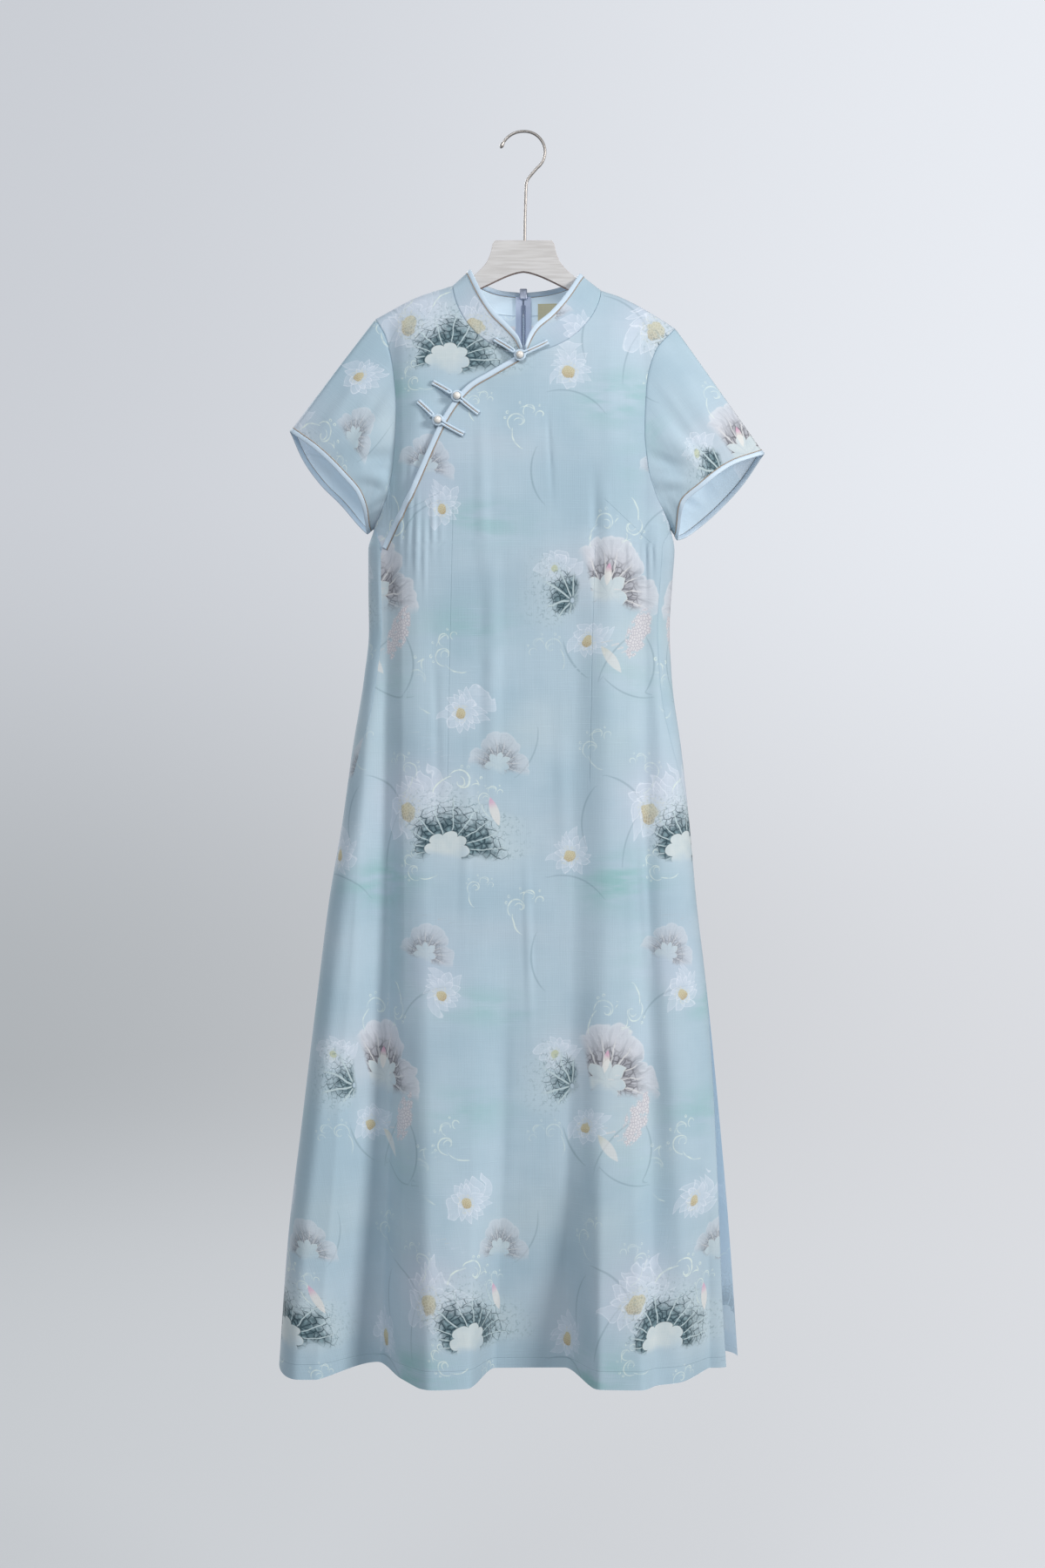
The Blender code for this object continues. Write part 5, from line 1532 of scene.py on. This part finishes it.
def seam_field(grid, lines, edges):
    """Signed and plain distance to the nearest seam, and its half width, over a grid."""
    spots = grid[:, :, [0, 2]]
    lines = [(np.array(line), np.full(len(line), width)) for line, width in lines]
    field = nearest_line(spots, lines)
    run = grid_runs(grid, 1)
    for first in edges:
        distance = run if first else run[:, -1:] - run
        closer = distance < field[..., 1]
        for k, value in enumerate((distance, distance, SEAM_HALF_WIDTH)):
            field[..., k] = np.where(closer, value, field[..., k])
    return field


def panel(name, grid, lines, edges, flip=False, last=False):
    """A printed panel with its seams.

    edges says at which ends of its rows seams run, True for the first and False for the last.
    With last, the print is placed from the last column.
    """
    places = row_places(grid, last)
    fields = print_fields(places, name)
    fields["seam"] = seam_field(grid, lines, edges)
    obj = cloth_object(name + "_cloth", grid, places, CREPE, fields, flip)
    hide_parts(name)
    declare_sheet(grid)


def declare_sheet(grid):
    """The cross products of a grid's edges, worked out and not used."""
    side = np.cross(grid[:-1, 1:] - grid[:-1, :-1], grid[1:, :-1] - grid[:-1, :-1])


def front_out(points):
    """The front's outward normals at points in X and Z."""
    x, z = points.T
    slope_x = front_y(x + 0.5, z) - front_y(x - 0.5, z)
    slope_z = front_y(x, z + 0.5) - front_y(x, z - 0.5)
    normal = np.column_stack([slope_x, -np.ones(len(slope_x)), slope_z])
    return normal / np.linalg.norm(normal, axis=1)[:, None]


def edged_panel(name, trim, grid, places, seam, foot_lift, flip, edge, away, out,
                closed=False):
    """A printed panel, the binding along its last row and the thin piping beside that.

    seam is the distance from the seam along its first row, and that seam's half width.
    """
    run, half_width = seam
    fields = print_fields(places, name)
    fields["seam"] = np.stack([run, run, np.full(run.shape, half_width)], axis=-1)
    lift = np.full((len(grid), 1, 1), CLOTH)
    lift[0] = foot_lift
    obj = cloth_object(name + "_cloth", grid, places, CREPE, fields, flip, lift)
    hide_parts(name)
    side = name.split("_")[1]
    band = rounded_band(f"{trim}_binding_{side}_satin", edge - away * BINDING_COVER,
                        edge + away * BINDING_OVERHANG, out, BINDING_THICK, 0.35, closed)
    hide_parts(f"{trim}_binding_{side}")
    piping(f"{trim}_piping_{side}", edge - away * PIPING_PLACE + out * PIPING_LIFT,
           closed=closed)
    declare_sheet(grid)


def piping(name, path, radius=PIPING_RADIUS, closed=False):
    tube(name, path, radius, PIPING, 8, closed)


def sleeve(name, side, grid):
    """A sleeve with the trims of its cuff."""
    run = grid_runs(grid, 1)
    down = grid_runs(grid, 0)
    places = np.stack([side * (run - run[:, UPPER_ROWS:UPPER_ROWS + 1]), down[-1] - down],
                      axis=-1)
    edge = grid[-1][:-1]
    away = edge - grid[-6][:-1]
    away /= np.linalg.norm(away, axis=1)[:, None]
    edged_panel(name, "cuff", grid, places, (down, 1.2), 0.1, side > 0, edge, away,
                grid_normals(grid, side > 0)[-1][:-1], closed=True)


def collar(name, side, top_front, top_back):
    """Half of the stand-up collar with its trims."""
    front = on_face(front_y, neck_curve(side))
    back = on_face(back_y, neck_curve(side, back=True)[::-1])
    base = np.concatenate([front[:-1], [0.5 * (front[-1] + back[0])], back[1:]])
    base[0, 0] = side * 1.2
    base[-1, 0] = side * 1.1
    top = np.concatenate([curve_at(top_front, shares_along(base[:NECK_ROWS + 1])),
                          curve_at(top_back, shares_along(base[NECK_ROWS:]))[1:]])
    fine = np.linspace(0, 1, COLLAR_COLUMNS)
    share = shares_along(base)
    base = read_at(fine, share, base)
    top = read_at(fine, share, top)
    grid = ruled(base, top, COLLAR_ROWS)
    along = run_length(0.5 * (base + top))
    height = np.linalg.norm(top - base, axis=1)
    up_run = np.linspace(0, 1, COLLAR_ROWS)[:, None] * height
    places = np.stack([np.broadcast_to(side * along, grid.shape[:2]), up_run], axis=-1)
    edged_panel(name, "collar", grid, places, (up_run, 1.0), 0.0, side < 0, top,
                (top - base) / height[:, None], grid_normals(grid, side < 0)[-1])


def placket():
    """The satin band along the placket's edge, and its piping."""
    count = 150
    outer = placket_curve(0.0, count)
    inner = placket_curve(PLACKET_WIDTH, count)
    band = rounded_band("placket_band_satin", on_face(front_y, outer), on_face(front_y, inner),
                        front_out(0.5 * (outer + inner)), 2.4, 0.45)
    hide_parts("placket_band")
    line = placket_curve(PLACKET_WIDTH + 0.6, count)
    piping("placket_piping", on_face(front_y, line) + front_out(line) * 1.5, 0.55)


def frog_side(frog, end, turn_radius, drop):
    """The doubled cord from its raw ends, round a turn at the pearl, and back."""
    pearl = np.array([frog.pearl_x, frog.pearl_z])
    along = pearl - end
    length = np.linalg.norm(along)
    along /= length
    across = np.array([-along[1], along[0]])
    half = math.asin(min(1.0, FROG_SPREAD / turn_radius))
    turn = [pearl + turn_radius * (-math.cos(a) * along + math.sin(a) * across)
            for a in np.linspace(half, 2 * math.pi - half, 30)]
    if turn_radius < 3:
        centre = pearl - along * (FROG_LOOP + FROG_CORD * 2 + KNOT_GAP)
        turn = [centre + turn_radius * (math.sin(a) * along + math.cos(a) * across)
                for a in np.linspace(0, math.pi, 12)]
    shares = np.linspace(0, 0.9, 14)
    first = [end + (turn[0] - end) * t
             + across * (FROG_SPREAD * (1 - t) + FROG_BOW * t * (1 - t)) for t in shares]
    last = [end + (turn[-1] - end) * t
            - across * (FROG_SPREAD * (1 - t) - FROG_BOW * t * (1 - t)) for t in shares[::-1]]
    lift = BAND + FROG_GAP + FROG_CORD + frog.lift
    points = []
    for place in first + turn + last:
        share = np.linalg.norm(place - pearl) / length
        fall = drop * float(smoothstep((share - 0.3) / 0.7))
        points.append((place[0], float(front_y(place[0], place[1])) - lift + fall, place[1]))
    return np.array(points)


def frog_fastening(frog):
    """A straight frog: a doubled cord on each side and a pearl held in the loop of one."""
    for kind, end, turn, drop in (
            ("knot", (frog.out_x, frog.out_z), FROG_SPREAD, frog.out_drop),
            ("loop", (frog.in_x, frog.in_z), FROG_LOOP, frog.in_drop)):
        path = frog_side(frog, np.array(end), turn, drop)
        sizes = np.ones(len(path))
        flare = 1.3 - 0.3 * smoothstep(np.arange(4) / 3)
        sizes[:4] = flare
        sizes[-4:] = flare[::-1]
        obj = tube(f"{frog.name}_{kind}_cord", path, FROG_CORD, SATIN, 16,
                   sizes=sizes)
        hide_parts(f"{frog.name}_{kind}")
        middle = 0.5 * (path[:13] + path[::-1][:13])
        middle[:, 1] -= 0.75
        piping(f"{frog.name}_{kind}_piping", middle)
    x, z = frog.pearl_x, frog.pearl_z
    centre = np.array([x, float(front_y(x, z)) - (BAND + FROG_GAP + PEARL + frog.lift), z])
    angles = np.linspace(0.04, math.pi - 0.04, 28)
    round_angle = np.linspace(0, 2 * math.pi, 40, endpoint=False)
    rings = [centre + PEARL * np.column_stack([
        math.sin(a) * np.cos(round_angle), np.full(40, -math.cos(a)),
        math.sin(a) * np.sin(round_angle)]) for a in angles]
    pearl = rings_object(f"{frog.name}_bead", rings, PEARL_PAINT)
    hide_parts(f"{frog.name}_pearl")


# ---------------------------------------------------------------- zip, facing and label

def back_inside(x, z):
    """The inner face of the back, and above it of the collar's back, in Y."""
    z = np.asarray(z, float)
    seam = back_y(x, np.minimum(z, NECK_BACK_HEIGHT))
    rise = np.maximum(z - NECK_BACK_HEIGHT, 0)
    return seam - 0.02 * rise - 0.8 * smoothstep((z + 230) / 25)


def flat_piece(name, x, heights, face, material, flip):
    """A small plain piece of cloth in the place of its solid, facing the front.

    face gives the Y and Z of a row of it from X and the row's Z.
    """
    rows = []
    for z in heights:
        y, fit = face(x, np.full(len(x), z))
        rows.append(np.column_stack([x, y, fit])[::-1])
    grid = np.array(rows)
    places = np.stack([grid_runs(grid, 1), grid[:, :, 2]], axis=-1)
    obj = cloth_object(name + "_cloth", grid, places, material, {}, flip, 0.3)
    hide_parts(name)
    declare_sheet(grid)


def tape_face(x, z):
    return back_inside(x, z) - INSIDE_GAP - TAPE, z


def facing_face(x, z):
    fit = np.minimum(z, shoulder_line(x) - 14)
    return back_y(x, fit) - INSIDE_GAP - CLOTH, fit


def label_face(x, z):
    bow = np.sqrt(1 - (x / 87) ** 2)
    return (30 - 0.12 * (z + 208)) * bow - INSIDE_GAP, z


def inside_pieces():
    """The zip's tapes and coils, the facing on both sides of it and the bare label."""
    for side in (-1, 1):
        name = "right" if side > 0 else "left"
        flat_piece("zip_tape_" + name, side * np.linspace(1.0, 1.0 + TAPE_WIDTH, 10),
                   np.linspace(ZIP_FOOT, ZIP_TOP - 3, 150), tape_face, TAPE_CLOTH,
                   side > 0)
        turns = np.arange(0, (ZIP_TOP - 12 - ZIP_FOOT) / COIL_PITCH, 1 / 6)
        z = ZIP_FOOT + COIL_PITCH * turns
        x = side * (1.5 + COIL_WIDE * np.cos(2 * math.pi * turns))
        y = (back_inside(x, z) - INSIDE_GAP - TAPE - 0.7
             - COIL_DEEP * np.sin(2 * math.pi * turns))
        tube("zip_coil_" + name, np.column_stack([x, y, z]), COIL_WIRE, COIL, 5)
        flat_piece("neck_facing_" + name, side * np.linspace(9.5, 70, 40),
                   np.linspace(-285, -212, 30), facing_face, LINING, side > 0)
    flat_piece("neck_label", np.linspace(16.5, 38, 16), np.linspace(-208, -187, 16), label_face,
               LABEL, True)


# ---------------------------------------------------------------- hanger

def hanger_outline():
    """The outline of the wooden body, in X and Z."""
    outline = []
    for side in (-1, 1):
        reach = ARM_END if side > 0 else ARM_END - 2
        xs = np.linspace(reach, 84, 50)
        top = np.column_stack([xs, shoulder_line(side * xs) - ARM_CLEAR])
        flare = curve_at([top[-1], *FLANK], np.linspace(0, 1, 40))[1:]
        arm = [(x, float(shoulder_line(side * x)) - depth)
               for x, depth in ((90, 20.0), (reach - 6, ARM_TIP_DEPTH))]
        under = curve_at([*LOWER_EDGE, *arm], np.linspace(0, 1, 60))
        tip = curve_at([under[-1], (reach + 0.5, top[0][1] - 8), (reach + 1.5, top[0][1] - 5),
                        top[0]], np.linspace(0, 1, 9))[1:-1]
        half = np.concatenate([under[1:] if side > 0 else under, tip, top, flare])
        half[:, 0] *= side
        outline += list(half[::-1] if side > 0 else half)
    return outline


def hanger_body():
    """The flat wooden body, with browner cut edges."""
    outline = hanger_outline()
    curve = bpy.data.curves.new("hanger_outline", "CURVE")
    curve.dimensions = "2D"
    curve.fill_mode = "BOTH"
    curve.extrude = (WOOD / 2 - 0.5) * MM
    curve.bevel_depth = 0.5 * MM
    curve.bevel_resolution = 3
    spline = curve.splines.new("POLY")
    spline.points.add(len(outline) - 1)
    for knot, (x, z) in zip(spline.points, outline):
        knot.co = (x * MM, z * MM, 0, 1)
    spline.use_cyclic_u = True
    shape = in_scene("hanger_outline", curve)
    bpy.context.view_layer.update()
    graph = bpy.context.evaluated_depsgraph_get()
    mesh = bpy.data.meshes.new_from_object(shape.evaluated_get(graph))
    bpy.data.objects.remove(shape)
    for vert in mesh.vertices:
        x, z, y = vert.co
        vert.co = (x, -y, z)
    mesh.materials.clear()
    mesh.shade_smooth()
    mesh.set_sharp_from_angle(angle=math.radians(40))
    turned_out(mesh)
    obj = finish_piece("hanger_wood", mesh, WOOD_FACE)
    mesh.materials.append(WOOD_EDGE)
    for face in mesh.polygons:
        face.material_index = 1 if abs(face.normal.y) < 0.6 else 0
    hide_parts("hanger_body")


def hanger_hook():
    """The hook of thick wire, with its stem down into the wood."""
    middle = (1.3, WIRE - HOOK_RADIUS)
    points = []
    for angle in np.linspace(172, -52, 90):
        flare = HOOK_FLARE * max(0.0, (angle - 90) / 82) ** 1.4
        radius = HOOK_RADIUS + flare
        points.append((middle[0] + radius * math.cos(math.radians(angle)), 0,
                       middle[1] + radius * math.sin(math.radians(angle))))
    stem = curve_at([points[-1], *((x, 0, z) for x, z in STEM)], np.linspace(0, 1, 50))
    path = np.concatenate([points, stem[1:]])
    sizes = np.ones(len(path))
    sizes[:len(HOOK_TIP)] = HOOK_TIP
    hook = tube("hanger_wire", path, WIRE, STEEL, 24, sizes=sizes)
    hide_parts("hanger_hook")


# ---------------------------------------------------------------- finishes

CREPE = printed_crepe("printed_crepe")
SATIN = satin("satin_binding", (198, 215, 230))
PIPING = satin("piping", (166, 148, 132), 0.6)
TAPE_CLOTH = plain_cloth("zip_tape", (188, 198, 220))
COIL = hard_surface("zip_coil", (136, 146, 174), (164, 174, 198), (1, 1, 1), 60, 0.5)
LINING = plain_cloth("lining", (238, 231, 234))
LABEL = plain_cloth("label", (198, 190, 158), 0.7, 0.88)
PEARL_PAINT = hard_surface("pearl", (222, 216, 210), (240, 236, 230), (1, 1, 1), 90, 0.22,
                           0.0, 0.0, 0.6)
SLIDER_PAINT = hard_surface("zip_slider", (164, 170, 190), (186, 192, 208), (1, 1, 1), 300,
                            0.4, 0.35, 0.02)
WOOD_FACE = hard_surface("wood_face", (188, 184, 182), (205, 202, 201), (1, 1, 14), 26, 0.6,
                         0.0, 0.15)
WOOD_EDGE = hard_surface("wood_edge", (150, 118, 104), (176, 146, 132), (1, 1, 8), 60, 0.75,
                         0.0, 0.2)
STEEL = hard_surface("hook_steel", (158, 152, 148), (168, 162, 158), (1, 1, 1), 9, 0.42,
                     0.85, 0.0)


# ---------------------------------------------------------------- the dress and its hanger

panel("front_main", front_grid(), seam_lines(FRONT_DARTS), (False,))
panel("front_underlap", lap_grid(), [], (True,))
for name, side, armhole in (("back_left", -1, BACK_ARMHOLE_LEFT),
                            ("back_right", 1, BACK_ARMHOLE_RIGHT)):
    panel(name, back_grid(side, armhole), seam_lines(BACK_DARTS), (True, False), side < 0, True)
for name, side, lines in (
        ("sleeve_left", -1, (FRONT_ARMHOLE_LEFT, BACK_ARMHOLE_LEFT, CUFF_FRONT_LEFT,
                             CUFF_BACK_LEFT)),
        ("sleeve_right", 1, (FRONT_ARMHOLE_RIGHT, BACK_ARMHOLE_RIGHT, CUFF_FRONT_RIGHT,
                             CUFF_BACK_RIGHT))):
    sleeve(name, side, sleeve_grid(side, *lines))
collar("collar_left", -1, COLLAR_FRONT_LEFT, COLLAR_BACK_LEFT)
collar("collar_right", 1, COLLAR_FRONT_RIGHT, COLLAR_BACK_RIGHT)
placket()
for frog in FROGS:
    frog_fastening(frog)
inside_pieces()
hanger_body()
hanger_hook()
for name in ("zip_slider", "zip_pull"):
    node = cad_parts[name]
    node.data.materials.clear()
    node.data.materials.append(SLIDER_PAINT)


# ---------------------------------------------------------------- stage, light and camera

def backdrop():
    """A pale bowl: a floor that sweeps up to a wall all round, glowing with painted light."""
    profile = [(0.0, -1.80), (1.5, -1.80), (3.2, -1.80), (4.6, -1.72), (5.7, -1.40),
               (6.5, -0.8), (6.9, 0.2), (7.1, 1.6), (7.2, 4.2)]
    knots = curve_at(profile, np.linspace(0, 1, 60))
    around = 96
    verts = [(r * math.cos(a), r * math.sin(a), z) for r, z in knots
             for a in np.linspace(0, 2 * math.pi, around, endpoint=False)]
    mesh = bpy.data.meshes.new("backdrop")
    mesh.from_pydata(verts, [], skin(len(knots), around))
    mesh.shade_smooth()
    material, tree, shader = shader_of("backdrop")
    place = tree.nodes.new("ShaderNodeNewGeometry")
    across, _y, height = parts_of(tree, place.outputs["Position"])
    # Painted light: the bowl glows paler to the right and up the wall, and darker to the left and
    # on the floor, as the light from the right would leave it.
    wall = blend(across.ramp(-3.0, 3.0), rgb(196, 199, 205), rgb(234, 237, 243))
    floor = blend(across.ramp(-2.4, 2.4), rgb(162, 166, 169), rgb(216, 217, 221))
    join_all(shader, (("Emission Color", blend(height.ramp(-1.9, 0.6), floor, wall)),
                      ("Base Color", rgb(104, 106, 109)), ("Emission Strength", 0.92),
                      ("Roughness", 0.95)))
    mesh.materials.append(material)
    obj = in_scene("backdrop", mesh)
    obj.visible_diffuse = False
    obj.visible_glossy = False
    obj.visible_shadow = False


# Round lamps: place and target in metres, size across and power in watts.
Lamp = namedtuple("Lamp", "name place target size power color")
LAMPS = (
    Lamp("key", (4.1, -3.0, 0.75), (0.0, 0.0, -0.6), 1.4, 196, (1.0, 0.985, 0.96)),
    Lamp("fill", (-0.9, -3.5, 2.0), (0.0, 0.0, -0.2), 1.6, 78, (0.95, 0.98, 1.0)),
    Lamp("back", (-1.6, 2.9, 1.2), (0.0, 0.0, -0.7), 1.6, 70, (1.0, 1.0, 1.0)),
)


def area_light(lamp):
    """A lamp aimed at its target."""
    data = bpy.data.lights.new(lamp.name, "AREA")
    data.shape = "DISK"
    data.size = lamp.size
    data.energy = lamp.power
    data.color = lamp.color
    obj = in_scene(lamp.name, data)
    obj.location = lamp.place
    aim = obj.location - type(obj.location)(lamp.target)
    obj.rotation_euler = aim.to_track_quat("Z", "Y").to_euler()


backdrop()
world = bpy.data.worlds.new("studio")
world.use_nodes = True
join_all(world.node_tree.nodes["Background"],
         (("Color", (0.90, 0.95, 1.0, 1.0)), ("Strength", 0.34)))
bpy.context.scene.world = world
for lamp in LAMPS:
    area_light(lamp)

# The camera stands straight in front, as the photo's did, and looks level.
CAMERA_LENS = 53.06
CAMERA_SENSOR = 36
CAMERA_PLACE = (-0.001, -2.6, -0.7326)
camera = bpy.data.cameras.new("camera")
camera.lens = CAMERA_LENS
camera.sensor_width = CAMERA_SENSOR
view = in_scene("camera", camera)
view.location = CAMERA_PLACE
view.rotation_euler = (math.pi / 2, 0, 0)
bpy.context.scene.camera = view
bpy.context.scene.view_settings.view_transform = "Standard"
